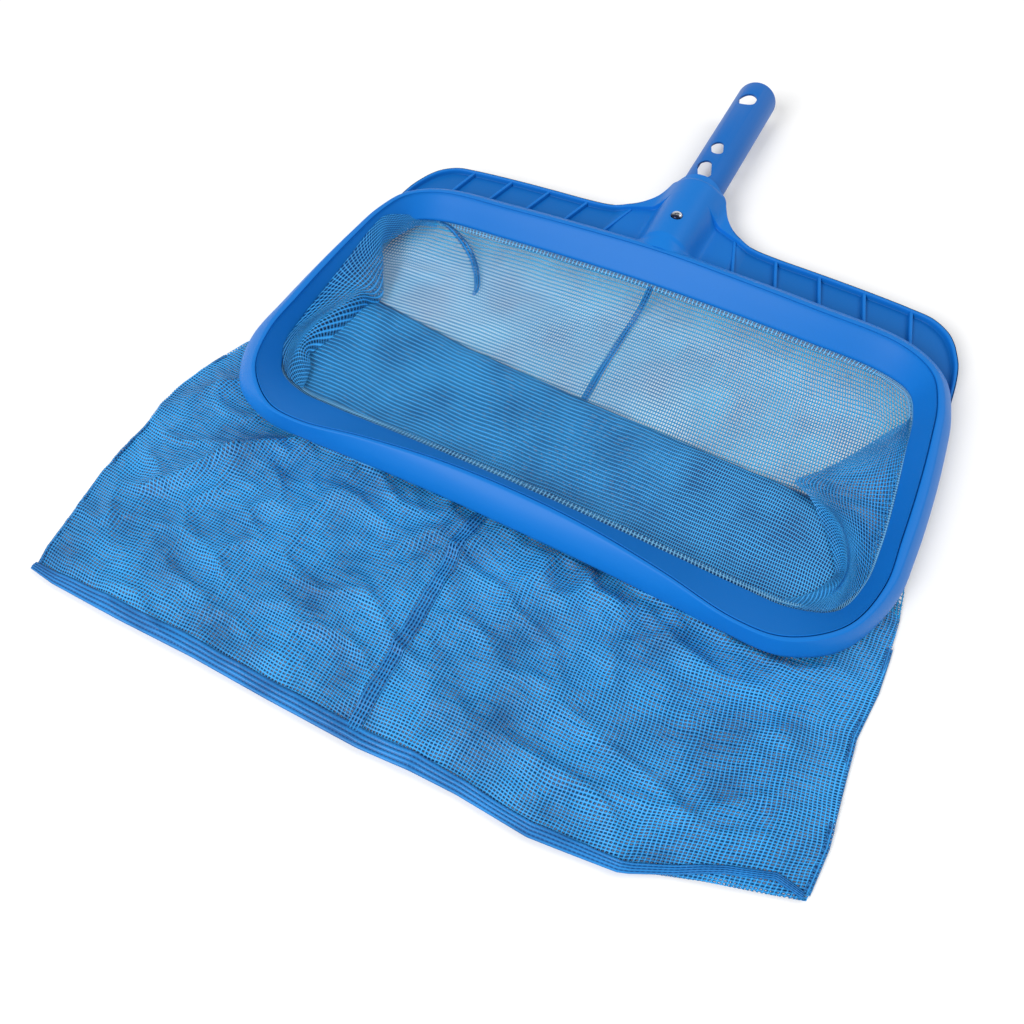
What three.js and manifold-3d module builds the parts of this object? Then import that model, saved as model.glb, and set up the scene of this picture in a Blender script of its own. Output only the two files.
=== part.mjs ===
// Leaf skimmer net (pool leaf rake), millimetres, +Z up.
// The frame lies on the floor with its mouth up.  X runs along the width of
// the frame, +Y points to the pole, and the mesh bag is drawn out towards -Y.
// Every plan curve below is written for the +X half and mirrored.
import * as THREE from 'three';
import { mergeVertices } from 'three/addons/utils/BufferGeometryUtils.js';
import Module from 'manifold-3d';

// ---------------------------------------------------------------- sizes
const STATIONS = 104;         // sections round the frame
const INNER_Z = 15.5;         // inner edge of the funnel, where the net starts
const RIM_Z = 31.8;           // top of the rim
const SKIRT_Z = 6.0;          // underside of the outer wall
const LIP_Z = 12.8;           // underside of the front lip
const EDGE_Z = 15.2;          // widest line of the outer wall
const SKIN = 2.6;             // wall thickness of the frame moulding
const INSERT_T = 2.3;         // wall thickness of the funnel insert
const GAP = 0.3;              // fit between pieces that touch

const WEB_BOTTOM = 10.0;      // rear web behind the frame
const WEB_TOP = 12.6;
const BORDER_TOP = 16.3;
const RIB_TOP = 15.6;
const RIB_T = 2.4;

const AXIS_Z = 18.1;          // centre line of the pole adapter
const TUBE_R = 15.7;          // adapter: 31.4 mm outside diameter
const TUBE_WALL = 2.2;
const TUBE_OPEN = 74;         // degrees each side of straight down
const TUBE_START = 126.5;
const TUBE_END = 306;
const BORE_R = TUBE_R + GAP;  // socket that holds the adapter
const BORE_START = 124.5;
const BARREL_WALL = 2.6;
const BARREL_R = BORE_R + BARREL_WALL;
const BARREL_START = 119;
const BARREL_END = 187;
const STEP_R = 17;            // the barrel tapers down to the rim in front
const STEP_END_R = 13.6;
const STEP_START = 112.4;
const FOOT_HALF = 15;         // block under the barrel that holds the nut
const FOOT_TOP = 9;
const FOOT_START = 121;

const SCREW_Y = 139.5;
const SCREW_R = 2;
const SCREW_TIP = 0.5;        // height of the screw's lower end
const HEAD_R = 3.9;
const HEAD_T = 2.5;
const HEAD_SEAT = AXIS_Z + BARREL_R - 1.3;
const CROSS_LENGTH = 4.6;
const CROSS_WIDTH = 0.9;
const NUT_R = 4.05;           // across the corners, halved
const NUT_T = 3.2;
const NUT_Z = AXIS_Z - Math.sqrt(BORE_R ** 2 - NUT_R ** 2) + GAP;

// Openings for the spring clip: middle, width, length and turn in degrees.
const SLOT_X = -1.6;
const SLOTS = [[196.2, 9, 18.5, 18], [221.2, 8, 14, 18], [283.6, 12, 14, 0]];

const CLOTH = 1.2;            // modelled thickness of one layer of net
const BAG_END = -268;         // free end of the bag, outer side of its hem
const HEM_DEPTH = 6;
const HEM_T = 4.6;
const HEM_ROUND = 1.5;
const BAG_HALF = 240;         // half width of the flat pouch
const BAG_TAPER = 4;          // how far its corners are drawn in
const FLAP_HALF = 180;        // half width of the front panel inside the mouth
const SIDE_RUN = 68;          // half length of the side panels
const SIDE_TOP = INNER_Z - 5.8;
const SIDE_BEND = 6.6;
const SIDE_FOOT = 3.2;
const FOLD_Y = -8;            // where the slack front panel turns forward
const SEAM_HALF = 3.5;
const CENTRE_Y = (BAG_END + TUBE_END) / 2;

// ---------------------------------------------------------------- colours
const plasticBlue = new THREE.Color('#1c6fd6');
const netBlue = new THREE.Color('#2a86cf');

// ------------------------------------------------------------ plan curves
// Front centre first, round the +X side, rear centre last.
const INNER = [
  [0, -91], [50, -91.3], [96, -92.2], [138, -93.2], [167, -92.5],
  [189.5, -83], [198.5, -60], [199.7, -35], [197.8, 0], [194.2, 35],
  [191.5, 60], [184, 78], [163, 86.5], [112, 90.3], [56, 92.8], [0, 94],
];
const GROOVE = [
  [0, -102.6], [50, -104.6], [98, -110.8], [142, -118.6], [168, -116],
  [194, -96], [204.5, -66], [204.8, -35], [204, 0], [201.8, 35],
  [198.5, 62], [190, 83], [168, 96.5], [113, 102], [56, 105.8], [0, 108],
];
const SHOULDER = [
  [0, -105.2], [50, -107.2], [99, -113.2], [142, -120.8], [169.3, -118.2],
  [196, -97.8], [208, -66], [209.5, -35], [209, 0], [206.3, 34],
  [202.3, 63.5], [192.6, 85.6], [169, 99.8], [113.4, 105.3], [56, 109], [0, 111.3],
];
const OUTER = [
  [0, -117.9], [50, -118.1], [98, -119.4], [142, -121], [171.5, -119.4],
  [199.5, -101.2], [215.5, -64], [217.5, -35], [217.2, 0], [215.2, 35],
  [211.5, 65], [201.5, 92.5], [175, 111.5], [115, 119.3], [57, 122.5], [0, 124],
];
// Underside of the outer wall: the skirt at the sides, the thin lip in front.
const UNDER = [
  LIP_Z, LIP_Z, LIP_Z, LIP_Z, LIP_Z - 0.6, 9.5, SKIRT_Z, SKIRT_Z, SKIRT_Z,
  SKIRT_Z, SKIRT_Z, SKIRT_Z, SKIRT_Z, SKIRT_Z, SKIRT_Z, SKIRT_Z,
];

function closedCurve(half, heights) {
  const right = half.map(([x, y], i) => new THREE.Vector3(x, y, heights ? heights[i] : 0));
  const left = right.slice(1, -1).reverse().map((p) => new THREE.Vector3(-p.x, p.y, p.z));
  return new THREE.CatmullRomCurve3([...right, ...left], true, 'centripetal');
}

function stations(half, heights) {
  const curve = closedCurve(half, heights);
  const points = [];
  for (let i = 0; i < STATIONS; i += 1) points.push(curve.getPoint(i / STATIONS));
  return points;
}

const inner = stations(INNER);
const groove = stations(GROOVE);
const shoulder = stations(SHOULDER);
const outer = stations(OUTER, UNDER);

// ---------------------------------------------------------------- solids
const wasm = await Module();
wasm.setup();

function orient(geometry) {
  const p = geometry.attributes.position;
  const index = geometry.index;
  const a = new THREE.Vector3();
  const b = new THREE.Vector3();
  const c = new THREE.Vector3();
  let volume = 0;
  for (let i = 0; i < index.count; i += 3) {
    a.fromBufferAttribute(p, index.getX(i));
    b.fromBufferAttribute(p, index.getX(i + 1));
    c.fromBufferAttribute(p, index.getX(i + 2));
    volume += a.dot(b.cross(c));
  }
  if (volume < 0) {
    for (let i = 0; i < index.count; i += 3) {
      const keep = index.getX(i + 1);
      index.setX(i + 1, index.getX(i + 2));
      index.setX(i + 2, keep);
    }
  }
  return geometry;
}

function solid(geometry) {
  const bare = geometry.clone();
  bare.deleteAttribute('normal');
  bare.deleteAttribute('uv');
  const merged = orient(mergeVertices(bare, 1e-4));
  return new wasm.Manifold(new wasm.Mesh({
    numProp: 3,
    vertProperties: new Float32Array(merged.attributes.position.array),
    triVerts: new Uint32Array(merged.index.array),
  }));
}

function geometryOf(manifold) {
  const mesh = manifold.getMesh();
  const geometry = new THREE.BufferGeometry();
  geometry.setAttribute('position', new THREE.BufferAttribute(mesh.vertProperties, 3));
  geometry.setIndex(new THREE.BufferAttribute(mesh.triVerts, 1));
  geometry.computeVertexNormals();
  return geometry;
}

// One closed ring of sections: every section is a list of points in order.
function loftRing(sections) {
  const count = sections[0].length;
  const positions = [];
  const index = [];
  for (const section of sections) {
    for (const p of section) positions.push(p.x, p.y, p.z);
  }
  for (let i = 0; i < sections.length; i += 1) {
    const next = (i + 1) % sections.length;
    for (let j = 0; j < count; j += 1) {
      const k = (j + 1) % count;
      const a = i * count + j;
      const b = next * count + j;
      const c = next * count + k;
      const d = i * count + k;
      index.push(a, b, c, a, c, d);
    }
  }
  const geometry = new THREE.BufferGeometry();
  geometry.setAttribute('position', new THREE.Float32BufferAttribute(positions, 3));
  geometry.setIndex(index);
  return orient(geometry);
}

function prism(outline, z0, z1) {
  const shape = new THREE.Shape(outline.map(([x, y]) => new THREE.Vector2(x, y)));
  const geometry = new THREE.ExtrudeGeometry(shape, { depth: z1 - z0, bevelEnabled: false });
  return geometry.translate(0, 0, z0);
}

// A bar of the given (y, z) outline, running along X from x0 to x1.
function barAlongX(outline, x0, x1) {
  const shape = new THREE.Shape(outline.map(([y, z]) => new THREE.Vector2(y, z)));
  const geometry = new THREE.ExtrudeGeometry(shape, { depth: x1 - x0, bevelEnabled: false });
  const turn = new THREE.Matrix4().set(0, 0, 1, x0, 1, 0, 0, 0, 0, 1, 0, 0, 0, 0, 0, 1);
  return geometry.applyMatrix4(turn);
}

function cylinderY(radius, y0, y1, sides) {
  const geometry = new THREE.CylinderGeometry(radius, radius, y1 - y0, sides);
  return geometry.translate(0, (y0 + y1) / 2, AXIS_Z);
}

function cylinderZ(radius, y, z0, z1, sides) {
  const geometry = new THREE.CylinderGeometry(radius, radius, z1 - z0, sides);
  return geometry.rotateX(Math.PI / 2).translate(0, y, (z0 + z1) / 2);
}

// Plan point between two curves, pushed outwards by `more` millimetres.
function between(from, to, share, z, more = 0) {
  const x = from.x + (to.x - from.x) * share;
  const y = from.y + (to.y - from.y) * share;
  const away = new THREE.Vector2(to.x - from.x, to.y - from.y).normalize();
  return new THREE.Vector3(x + away.x * more, y + away.y * more, z);
}

// ------------------------------------------------------------ frame moulding
function frameSection(i) {
  const a = inner[i];
  const g = groove[i];
  const s = shoulder[i];
  const o = outer[i];
  const under = o.z;
  const edge = Math.min(EDGE_Z, under + 9);
  const seat = RIM_Z - INSERT_T - GAP;
  return [
    between(g, s, 0, RIM_Z, GAP / 2),
    between(g, s, 0.9, RIM_Z),
    between(s, o, 0.12, RIM_Z - 1.0),
    between(s, o, 0.5, RIM_Z - 5.2),
    between(s, o, 0.85, EDGE_Z + 6.2),
    between(s, o, 1, edge + (under > 12 ? -0.4 : 0)),
    between(s, o, 1, under, -0.5),
    between(s, o, 1, under, -SKIN),
    between(s, o, 1, edge - (under > 12 ? 1.2 : 0), -SKIN - 0.4),
    between(s, o, 0.45, RIM_Z - 8.2, -1.2),
    between(g, s, 0.2, RIM_Z - 5.4),
    between(a, g, 0.62, INNER_Z + 6.0, 1.2),
    between(a, g, 0, INNER_Z - 3.2, 3.8),
    between(a, g, 0, INNER_Z - 3.2, 1.6),
    between(a, g, 0.55, INNER_Z + 6.4 - INSERT_T, 1.0),
    between(a, g, 0.93, seat - 2.0, 0.6),
    between(g, s, 0, seat - 0.4, GAP / 2),
  ];
}

function insertSection(i) {
  const a = inner[i];
  const g = groove[i];
  return [
    between(a, g, 0, INNER_Z + 0.9, 0),
    between(a, g, 0.18, INNER_Z + 3.6),
    between(a, g, 0.45, INNER_Z + 8.0),
    between(a, g, 0.75, INNER_Z + 12.6),
    between(a, g, 1, RIM_Z, -GAP / 2),
    between(a, g, 1, RIM_Z - INSERT_T, -GAP / 2),
    between(a, g, 0.86, RIM_Z - INSERT_T - 2.0, 0.4),
    between(a, g, 0.5, INNER_Z + 6.9 - INSERT_T + 0.6, 0.7),
    between(a, g, 0, INNER_Z - 1.6, 1.2),
    between(a, g, 0, INNER_Z - 1.9, 0.3),
    between(a, g, 0, INNER_Z - 0.6, -0.3),
  ];
}

function ring(section) {
  const sections = [];
  for (let i = 0; i < STATIONS; i += 1) sections.push(section(i));
  return loftRing(sections);
}

// Rear edge of the web and its neck to the socket, +X half.
const WEB_EDGE = [
  [209.2, 70], [207.6, 98], [205.4, 111], [202.4, 119.4], [199.2, 126.5], [193.4, 134.4],
  [182, 141.8], [166, 144.6], [135, 147.6], [104, 149.6], [73, 151.2], [57, 153],
  [46, 156.6], [36.6, 163], [29, 172], [23.6, 182], [19.5, 187], [0, 187],
];
const RECESS_EDGE = [
  [206.2, 74], [204.6, 97.4], [202.4, 109.8], [199.6, 117.8], [196.5, 124.4], [191.3, 131.6],
  [181, 138.7], [166, 141.5], [135, 144.4], [104, 146.4], [73, 148], [58, 149.8],
  [43, 154], [30, 159.4], [18, 163.6], [15, 163.6],
];
const RIBS = [
  [[40.5, 155], [52.2, 121]], [[72.8, 150], [83.4, 118]], [[104, 148.6], [114.4, 116.6]],
  [[135.4, 146.4], [145, 114.5]], [[167.4, 143.4], [176.4, 108.5]],
];

function mirrored(outline) {
  return outline.map(([x, y]) => [-x, y]);
}

// Rear stretch of the outer wall, drawn in so that it ends inside the wall.
function wallLine(inset) {
  const line = [];
  for (let i = 0; i < STATIONS; i += 1) {
    const s = shoulder[i];
    const o = outer[i];
    if (o.y > WEB_EDGE[0][1] - 4) {
      const p = between(s, o, 1, 0, -inset);
      line.push([p.x, p.y]);
    }
  }
  return line.sort((p, q) => q[0] - p[0]);
}

function webSolid() {
  const front = wallLine(SKIN * 0.5);
  const rear = [...WEB_EDGE, ...mirrored(WEB_EDGE).reverse().slice(1)];
  const outline = [...rear, ...front.slice().reverse()];
  let web = solid(prism(outline, WEB_BOTTOM, BORDER_TOP));
  const [recessOut] = RECESS_EDGE[0];
  const [recessIn] = RECESS_EDGE[RECESS_EDGE.length - 1];
  const inside = wallLine(SKIN * 0.9).filter(([x]) => x > recessIn && x < recessOut - SKIN);
  for (const side of [1, -1]) {
    const half = [...RECESS_EDGE, ...inside.slice().reverse()];
    const cut = half.map(([x, y]) => [side * x, y]);
    web = web.subtract(solid(prism(cut, WEB_TOP, BORDER_TOP + 2)));
  }
  return web;
}

function ribSolid([[x0, y0], [x1, y1]], side) {
  const along = new THREE.Vector2(x1 - x0, y1 - y0).normalize();
  const across = new THREE.Vector2(-along.y, along.x).multiplyScalar(RIB_T / 2);
  const outline = [
    [side * (x0 + across.x), y0 + across.y], [side * (x0 - across.x), y0 - across.y],
    [side * (x1 - across.x), y1 - across.y], [side * (x1 + across.x), y1 + across.y],
  ];
  return solid(prism(outline, WEB_TOP - 0.5, RIB_TOP));
}

// Everything under the floor is cut away from the barrel.
function barrelSolid() {
  const length = BARREL_END - STEP_START;
  const middle = (BARREL_END + STEP_START) / 2;
  const height = AXIS_Z + BARREL_R + 1;
  const above = new THREE.BoxGeometry(4 * BARREL_R, length + 2, height);
  const round = cylinderY(BARREL_R, BARREL_START, BARREL_END, 48);
  const taper = new THREE.CylinderGeometry(STEP_R, STEP_END_R, BARREL_START + 1 - STEP_START, 40);
  const foot = new THREE.BoxGeometry(2 * FOOT_HALF, BARREL_END - FOOT_START, FOOT_TOP);
  return solid(round)
    .add(solid(taper.translate(0, (BARREL_START + 1 + STEP_START) / 2, AXIS_Z)))
    .add(solid(foot.translate(0, (BARREL_END + FOOT_START) / 2, FOOT_TOP / 2)))
    .intersect(solid(above.translate(0, middle, height / 2)));
}

function frameBody() {
  let body = solid(ring(frameSection)).add(webSolid());
  for (const rib of RIBS) {
    for (const side of [1, -1]) body = body.add(ribSolid(rib, side));
  }
  body = body.add(barrelSolid());
  const top = AXIS_Z + BARREL_R + HEAD_T;
  body = body.subtract(solid(cylinderY(BORE_R, BORE_START, BARREL_END + 5, 48)));
  body = body.subtract(solid(cylinderZ(SCREW_R + GAP, SCREW_Y, -2, top, 20)));
  body = body.subtract(solid(cylinderZ(HEAD_R + 2 * GAP, SCREW_Y, HEAD_SEAT, top, 28)));
  return body;
}

// ------------------------------------------------------------ pole adapter
function adapter() {
  const open = THREE.MathUtils.degToRad(TUBE_OPEN);
  const from = -Math.PI / 2 + open;
  const to = Math.PI * 1.5 - open;
  const shape = new THREE.Shape();
  shape.absarc(0, 0, TUBE_R, from, to, false);
  shape.absarc(0, 0, TUBE_R - TUBE_WALL, to, from, true);
  const length = TUBE_END - TUBE_START;
  const geometry = new THREE.ExtrudeGeometry(shape, {
    depth: length, bevelEnabled: false, curveSegments: 36,
  });
  geometry.rotateX(Math.PI / 2).translate(0, TUBE_END, AXIS_Z);
  let tube = solid(geometry);
  for (const [y, width, along, turn] of SLOTS) {
    const slot = new THREE.Shape();
    const r = width / 2;
    const run = Math.max((along - width) / 2, 0.01);
    slot.absarc(0, run, r, 0, Math.PI, false);
    slot.absarc(0, -run, r, Math.PI, Math.PI * 2, false);
    const cut = new THREE.ExtrudeGeometry(slot, {
      depth: TUBE_R + 2, bevelEnabled: false, curveSegments: 9,
    });
    cut.rotateZ(THREE.MathUtils.degToRad(turn));
    tube = tube.subtract(solid(cut.translate(SLOT_X, y, AXIS_Z)));
  }
  return tube.subtract(solid(cylinderZ(SCREW_R + GAP, SCREW_Y, AXIS_Z, AXIS_Z + TUBE_R + 2, 20)));
}

// ------------------------------------------------------------ fasteners
function screw() {
  const r = SCREW_R;
  const under = HEAD_SEAT + GAP;
  const crown = HEAD_SEAT + GAP + HEAD_T;
  const profile = [
    [0, SCREW_TIP], [r - 0.4, SCREW_TIP], [r, SCREW_TIP + 0.4], [r, under], [HEAD_R, under],
    [HEAD_R, under + 0.4 * HEAD_T], [0.84 * HEAD_R, under + 0.75 * HEAD_T],
    [0.55 * HEAD_R, under + 0.95 * HEAD_T], [0, crown],
  ];
  const points = profile.map(([x, y]) => new THREE.Vector2(x, y));
  const lathe = new THREE.LatheGeometry(points, 28).rotateX(Math.PI / 2);
  let body = solid(lathe.translate(0, SCREW_Y, 0));
  for (const turn of [0, 1]) {
    const bar = new THREE.BoxGeometry(CROSS_LENGTH, CROSS_WIDTH, HEAD_T);
    bar.rotateZ(Math.PI * (0.25 + turn / 2));
    body = body.subtract(solid(bar.translate(0, SCREW_Y, crown)));
  }
  return body;
}

function nut() {
  const hex = solid(cylinderZ(NUT_R, SCREW_Y, NUT_Z, NUT_Z + NUT_T, 6));
  return hex.subtract(solid(cylinderZ(SCREW_R + GAP / 2, SCREW_Y, NUT_Z - 1, NUT_Z + NUT_T + 1, 20)));
}

// ---------------------------------------------------------------- net bag
// Both panels are strips of cloth along a (y, z) line of their lower side.
function strip(line) {
  const upper = line.map(([y, z], i) => {
    const before = line[Math.max(i - 1, 0)];
    const after = line[Math.min(i + 1, line.length - 1)];
    const along = new THREE.Vector2(after[0] - before[0], after[1] - before[1]).normalize();
    return [y - along.y * CLOTH, z + along.x * CLOTH];
  });
  return [...line, ...upper.reverse()];
}

const END_Y = BAG_END + HEM_DEPTH + GAP;
const LAYER_Z = 1.6;          // underside of the upper layer of the pouch
const FLAP_Z = 6.3;           // underside of the front panel inside the mouth
const BACK_LINE = [[END_Y, 0], [-60, 0], [40, 0], [62, 0.8], [76, 3.0], [84, 6.0], [87.6, 8.7]];
const FRONT_LINE = [
  [END_Y, LAYER_Z], [-80, LAYER_Z], [FOLD_Y - 4, LAYER_Z], [FOLD_Y - 0.6, LAYER_Z + 0.7],
  [FOLD_Y + 0.8, (LAYER_Z + FLAP_Z) / 2], [FOLD_Y - 0.6, FLAP_Z - 0.7], [FOLD_Y - 4, FLAP_Z],
  [-50, FLAP_Z], [-76, FLAP_Z + 0.5], [-84, FLAP_Z + 1.5], [-87.6, FLAP_Z + 2.7],
];

// Half outline of the pouch in plan.
const POUCH = [
  [0, BAG_END - 5], [BAG_HALF - BAG_TAPER, BAG_END - 5], [BAG_HALF, -200], [BAG_HALF, -120],
  [BAG_HALF - 6, -96], [212, -72], [193, -58], [186, -40], [184, 60], [180, 92], [0, 92],
];

function panel(outline, side) {
  const plan = POUCH.map(([x, y]) => [side * (x + (x === 0 ? SEAM_HALF + GAP : 0)), y]);
  const reach = BAG_HALF + 20;
  return solid(barAlongX(outline, -reach, reach)).intersect(solid(prism(plan, -1, RIM_Z)));
}

function frontPanel(side) {
  const whole = panel(strip(FRONT_LINE), side);
  const outline = [
    [side * FLAP_HALF, 2 * BAG_END], [side * 2 * FLAP_HALF, 2 * BAG_END],
    [side * 2 * FLAP_HALF, -BAG_END], [side * FLAP_HALF, -BAG_END],
  ];
  return whole.subtract(solid(prism(outline, LAYER_Z + CLOTH + 0.2, RIM_Z)));
}

function seam(outline) {
  return solid(barAlongX(outline, -SEAM_HALF, SEAM_HALF));
}

// An open run of four-cornered sections, closed by a cap at each end.
function loftRun(sections) {
  const count = sections[0].length;
  const positions = sections.flat().flatMap((p) => [p.x, p.y, p.z]);
  const index = [];
  for (let i = 0; i + 1 < sections.length; i += 1) {
    for (let j = 0; j < count; j += 1) {
      const k = (j + 1) % count;
      const a = i * count + j;
      const d = i * count + k;
      index.push(a, a + count, d + count, a, d + count, d);
    }
  }
  const last = (sections.length - 1) * count;
  for (let j = 1; j + 1 < count; j += 1) {
    index.push(0, j, j + 1, last, last + j + 1, last + j);
  }
  const geometry = new THREE.BufferGeometry();
  geometry.setAttribute('position', new THREE.Float32BufferAttribute(positions, 3));
  geometry.setIndex(index);
  return orient(geometry);
}

// The side of the bag hangs from the inner edge and slants inwards to the floor.
function sidePanel(side) {
  const sections = [];
  for (let i = 0; i < STATIONS; i += 1) {
    const a = inner[i];
    if (side * a.x > 0 && Math.abs(a.y) < SIDE_RUN) {
      const g = groove[i];
      sections.push([
        between(a, g, 0, SIDE_TOP, CLOTH / 2), between(a, g, 0, SIDE_TOP, -CLOTH / 2),
        between(a, g, 0, SIDE_BEND, -2.6), between(a, g, 0, SIDE_FOOT, -4.6),
        between(a, g, 0, SIDE_FOOT, -3.2), between(a, g, 0, SIDE_BEND, -1.2),
      ]);
    }
  }
  return loftRun(sections);
}

function bottomHem() {
  const inside = BAG_END + HEM_DEPTH;
  const outline = [
    [BAG_END, 0], [inside, 0], [inside, HEM_T - 1], [inside - HEM_ROUND, HEM_T],
    [BAG_END + HEM_ROUND, HEM_T], [BAG_END, HEM_T - 1],
  ];
  return solid(barAlongX(outline, BAG_TAPER - BAG_HALF, BAG_HALF - BAG_TAPER));
}

function hemSection(i) {
  const a = inner[i];
  const g = groove[i];
  return [
    between(a, g, 0, INNER_Z - 2.2, 0.2),
    between(a, g, 0, INNER_Z - 2.2, 1.3),
    between(a, g, 0, INNER_Z - 5.4, 1.3),
    between(a, g, 0, INNER_Z - 5.4, 0.2),
  ];
}

// ---------------------------------------------------------------- assembly
const part = new THREE.Group();
part.name = 'leaf_skimmer_net';
const placed = new THREE.Group();
placed.position.set(0, -CENTRE_Y, 0);
part.add(placed);

const plastic = () => new THREE.MeshStandardMaterial({
  color: plasticBlue, roughness: 0.42, metalness: 0,
});
const net = () => new THREE.MeshStandardMaterial({ color: netBlue, roughness: 0.7, metalness: 0 });
const steel = () => new THREE.MeshStandardMaterial({
  color: '#c9ccd0', roughness: 0.22, metalness: 1,
});

function place(name, shape, material) {
  const geometry = shape.isBufferGeometry ? shape : geometryOf(shape);
  const mesh = new THREE.Mesh(geometry, material);
  mesh.name = name;
  placed.add(mesh);
}

place('frame_body', frameBody(), plastic());
place('clamp_ring', ring(insertSection), plastic());
place('pole_adapter', adapter(), plastic());
place('socket_screw', screw(), steel());
place('socket_nut', nut(), steel());
place('net_back_left', panel(strip(BACK_LINE), -1), net());
place('net_back_right', panel(strip(BACK_LINE), 1), net());
place('net_back_seam', seam(strip(BACK_LINE)), net());
place('net_front_left', frontPanel(-1), net());
place('net_front_right', frontPanel(1), net());
place('net_front_seam', seam(strip(FRONT_LINE)), net());
place('net_side_left', sidePanel(-1), net());
place('net_side_right', sidePanel(1), net());
place('net_bottom_hem', bottomHem(), net());
place('net_mouth_hem', ring(hemSection), net());

export default part;
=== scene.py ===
# %% [markdown]
# # Leaf skimmer net
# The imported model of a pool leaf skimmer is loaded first: a moulded frame, the funnel that clamps
# the net into it, a pole adapter with its screw, and a mesh bag that lies flat on the floor.
# Every finished piece below is built over the solid that it stands for. Only the bag lies a little
# more askew than its solids do.
# %% Load the fixed frame
import math

import bmesh
import bpy
import numpy as np
from mathutils import Matrix, Vector, noise


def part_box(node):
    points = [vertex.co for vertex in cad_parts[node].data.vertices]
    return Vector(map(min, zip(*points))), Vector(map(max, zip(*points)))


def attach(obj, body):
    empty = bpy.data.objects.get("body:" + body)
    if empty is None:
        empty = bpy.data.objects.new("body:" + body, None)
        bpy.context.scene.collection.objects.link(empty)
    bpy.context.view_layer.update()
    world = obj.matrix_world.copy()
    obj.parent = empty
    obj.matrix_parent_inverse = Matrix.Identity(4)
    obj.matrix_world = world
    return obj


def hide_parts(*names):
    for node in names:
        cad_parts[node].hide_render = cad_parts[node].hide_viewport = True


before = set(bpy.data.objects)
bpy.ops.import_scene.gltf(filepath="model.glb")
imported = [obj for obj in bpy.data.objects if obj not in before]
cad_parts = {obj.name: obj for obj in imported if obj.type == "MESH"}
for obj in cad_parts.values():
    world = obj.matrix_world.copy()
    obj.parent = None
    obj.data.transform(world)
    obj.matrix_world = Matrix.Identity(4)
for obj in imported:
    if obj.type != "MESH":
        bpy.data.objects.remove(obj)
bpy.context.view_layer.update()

print("pieces in the frame:", sorted(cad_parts))

# %% [markdown]
# The drawing of the skimmer is in millimetres, with the middle of the mouth as its origin.
# The frame is in metres and has its origin in the middle of the whole object, so one function
# turns a point of the drawing into a point of the scene. The adapter's end gives the offset.
# %% Drawing units
MM = 0.001
TUBE_END = 306.0
DRAWING_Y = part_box("pole_adapter")[1].y - TUBE_END * MM


def at(x, y, z):
    """A point of the drawing, as a point of the scene."""
    return Vector((x * MM, y * MM + DRAWING_Y, z * MM))


print("drawing origin lies at y =", round(DRAWING_Y, 4))

# %% [markdown]
# ## Camera
# A short lens close to the object, looking down from the front right, as a person looks at a net
# that lies at their feet. The matrix holds the right, up and backward directions of the camera.
# %% Camera
LENS = 26.72
camera_data = bpy.data.cameras.new("camera")
camera_data.lens = LENS
camera_data.sensor_width = 36.0
camera_data.clip_start = 0.01
camera = bpy.data.objects.new("camera", camera_data)
bpy.context.scene.collection.objects.link(camera)
right = Vector((0.87506, 0.47973, -0.06423))
up = Vector((-0.39728, 0.78771, 0.47084))
back = Vector((0.27647, -0.38649, 0.87988))
CAMERA_PLACE = (0.12808, -0.30203, 0.41241)
turn = Matrix((right, up, back)).transposed().to_4x4()
camera.matrix_world = Matrix.Translation(CAMERA_PLACE) @ turn
bpy.context.scene.camera = camera
print("camera height", round(camera.location.z, 3), "m")

# %% [markdown]
# ## Light and floor
# An even world is plain studio light. A brighter world would whiten the backdrop but also wash out
# the net, so the world is white only for rays that see it directly and keeps a lower level for the
# light that it gives.
# %% World
WORLD_LIGHT = 0.48
scene = bpy.context.scene
scene.view_settings.view_transform = "Standard"


def link(tree, start, end):
    tree.links.new(start, end)


def seen_directly(tree):
    """1 for camera, glossy and transmission rays, and 0 for the rays that carry light."""
    path = tree.nodes.new("ShaderNodeLightPath")
    first = tree.nodes.new("ShaderNodeMath")
    second = tree.nodes.new("ShaderNodeMath")
    first.operation = second.operation = "MAXIMUM"
    link(tree, path.outputs["Is Camera Ray"], first.inputs[0])
    link(tree, path.outputs["Is Glossy Ray"], first.inputs[1])
    link(tree, first.outputs[0], second.inputs[0])
    link(tree, path.outputs["Is Transmission Ray"], second.inputs[1])
    return second.outputs[0]


world = bpy.data.worlds.new("studio")
scene.world = world
world.use_nodes = True
tree = world.node_tree
light = tree.nodes["Background"]
light.inputs["Color"].default_value = (1, 1, 1, 1)
light.inputs["Strength"].default_value = WORLD_LIGHT
white = tree.nodes.new("ShaderNodeBackground")
white.inputs["Color"].default_value = (1, 1, 1, 1)
mix = tree.nodes.new("ShaderNodeMixShader")
link(tree, seen_directly(tree), mix.inputs[0])
link(tree, light.outputs[0], mix.inputs[1])
link(tree, white.outputs[0], mix.inputs[2])
link(tree, mix.outputs[0], tree.nodes["World Output"].inputs[0])
print("world light", WORLD_LIGHT)

# %% [markdown]
# The floor is one large pale square. A little of its white comes from its own material, again only
# for rays that see it directly, so that it meets the white backdrop and still keeps the shadow under
# the net.
# %% Floor
FLOOR_WHITE = 0.90
FLOOR_LIFT = 0.12
floor_paint = bpy.data.materials.new("studio_floor")
floor_paint.use_nodes = True
tree = floor_paint.node_tree
tree.nodes.clear()
paint = tree.nodes.new("ShaderNodeBsdfDiffuse")
paint.inputs["Color"].default_value = (FLOOR_WHITE, FLOOR_WHITE, FLOOR_WHITE, 1)
lift = tree.nodes.new("ShaderNodeEmission")
strength = tree.nodes.new("ShaderNodeMath")
strength.operation = "MULTIPLY"
strength.inputs[1].default_value = FLOOR_LIFT
link(tree, seen_directly(tree), strength.inputs[0])
link(tree, strength.outputs[0], lift.inputs["Strength"])
add = tree.nodes.new("ShaderNodeAddShader")
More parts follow.
